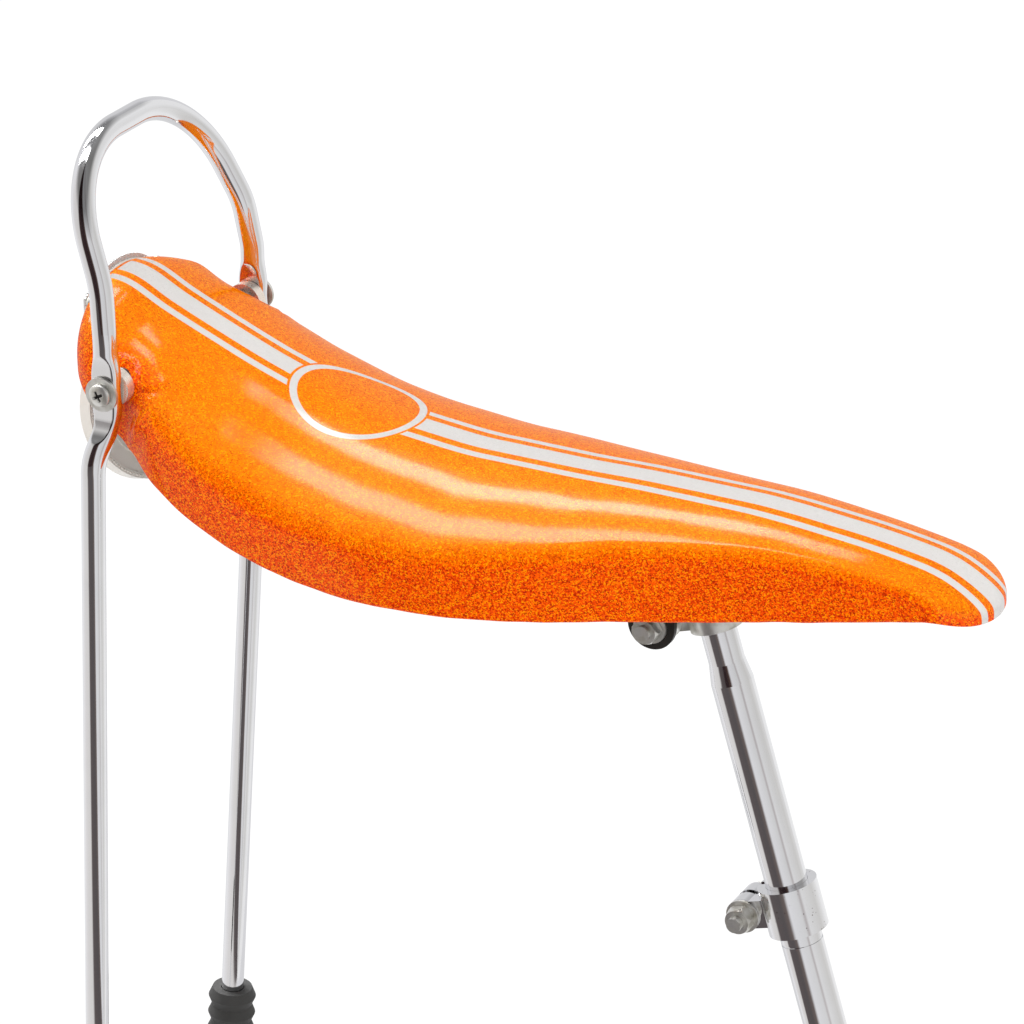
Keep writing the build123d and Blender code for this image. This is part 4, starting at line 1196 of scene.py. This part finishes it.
def light_world():
    """World light: white to the camera, plain grey to the object, and walls to mirrors."""
    world = bpy.data.worlds.new("world")
    bpy.context.scene.world = world
    nodes = Nodes(world)
    path = nodes.add("ShaderNodeLightPath").outputs
    direction = nodes.coordinates.outputs["Generated"]
    height = nodes.split(direction)["Z"]
    dimming = nodes.map_range(height, CEILING_FROM, CEILING_TO, 1.0, CEILING_DIM)
    walls = nodes.vector_math("SCALE", surroundings(nodes, direction), scale=dimming)
    plain = (WORLD_STRENGTH, WORLD_STRENGTH, WORLD_STRENGTH)
    light = nodes.mix(path["Is Glossy Ray"], plain, walls)
    seen = nodes.math("MAXIMUM", path["Is Camera Ray"], path["Is Transmission Ray"])
    background = nodes.tree.nodes["Background"]
    nodes.link(nodes.mix(seen, light, WHITE), background.inputs["Color"])


def light_stage():
    """Floor, world and lamps."""
    add_floor()
    light_world()
    for name, across, up, width, glow in STRIPS:
        for end, share in STRIP_ENDS:
            length = end - STRIP_START
            place = Vector(((end + STRIP_START) / 2, across, up))
            add_strip(name, place, width, length, glow * share * math.pi * width * length)
    for name, azimuth, elevation, distance, width, length, power in LAMPS:
        add_lamp(name, towards(azimuth, elevation) * distance, width, length, power)


def add_piece(piece, material, body):
    """Gives a piece its finish and the body that it rides on."""
    piece.data.materials.append(material)
    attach(piece, body)


def main():
    add_camera()
    light_stage()
    finishes = {
        "vinyl": vinyl_material(),
        "chrome": chrome_material(),
        "pitted_chrome": chrome_material("pitted_chrome", pits=0.9),
        "zinc": zinc_material(),
        "black_steel": black_steel_material(),
        "rubber": rubber_material(),
        "rim": rim_material(),
        "lens": lens_material(),
        "trim": trim_material(),
        "nickel": disc_material(),
        "piping": piping_material(),
    }
    by_node = {
        "seat_post": "chrome", "sissy_bar": "chrome", "strut": "chrome", "side_disc": "nickel",
        "collar": "pitted_chrome", "collar_bolt": "zinc", "collar_nut": "zinc",
        "clamp_body": "zinc", "clamp_cup": "zinc", "clamp_bolt": "zinc", "clamp_nut": "zinc",
        "clamp_washers": "zinc", "side_washer": "zinc", "side_screw": "zinc",
        "rear_bracket": "black_steel", "front_bracket": "black_steel",
        "seat_pan": "black_steel", "boot": "rubber", "reflector_housing": "rim",
        "reflector_lens": "lens", "reflector_bracket": "zinc", "seat_cushion": "vinyl",
        "tail_trim": "trim",
    }
    for node in frame["nodes"]:
        kind = node.removesuffix("_left").removesuffix("_right")
        paint_node(node, finishes[by_node[kind]])
    cover = make_seat_skin()
    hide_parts("seat_cushion")
    add_piece(cover, finishes["vinyl"], "saddle")
    pan = make_pan()
    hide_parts("seat_pan")
    add_piece(pan, finishes["black_steel"], "saddle")
    bar = make_bar()
    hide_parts("sissy_bar")
    add_piece(bar, finishes["chrome"], "sissy_bar")
    for side, node in ((-1, "side_screw_right"), (1, "side_screw_left")):
        screw = make_side_screw(side)
        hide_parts(node)
        add_piece(screw, finishes["zinc"], "saddle")
        # black finish for the painted shade in the screw's recess
        screw.data.materials.append(finishes["black_steel"])
    add_piece(make_piping(), finishes["piping"], "saddle")
    add_piece(make_rivets(), finishes["zinc"], "saddle")
    add_piece(make_reflector_beads(), finishes["rim"], "saddle")


bpy.context.scene.view_settings.view_transform = "Standard"
main()
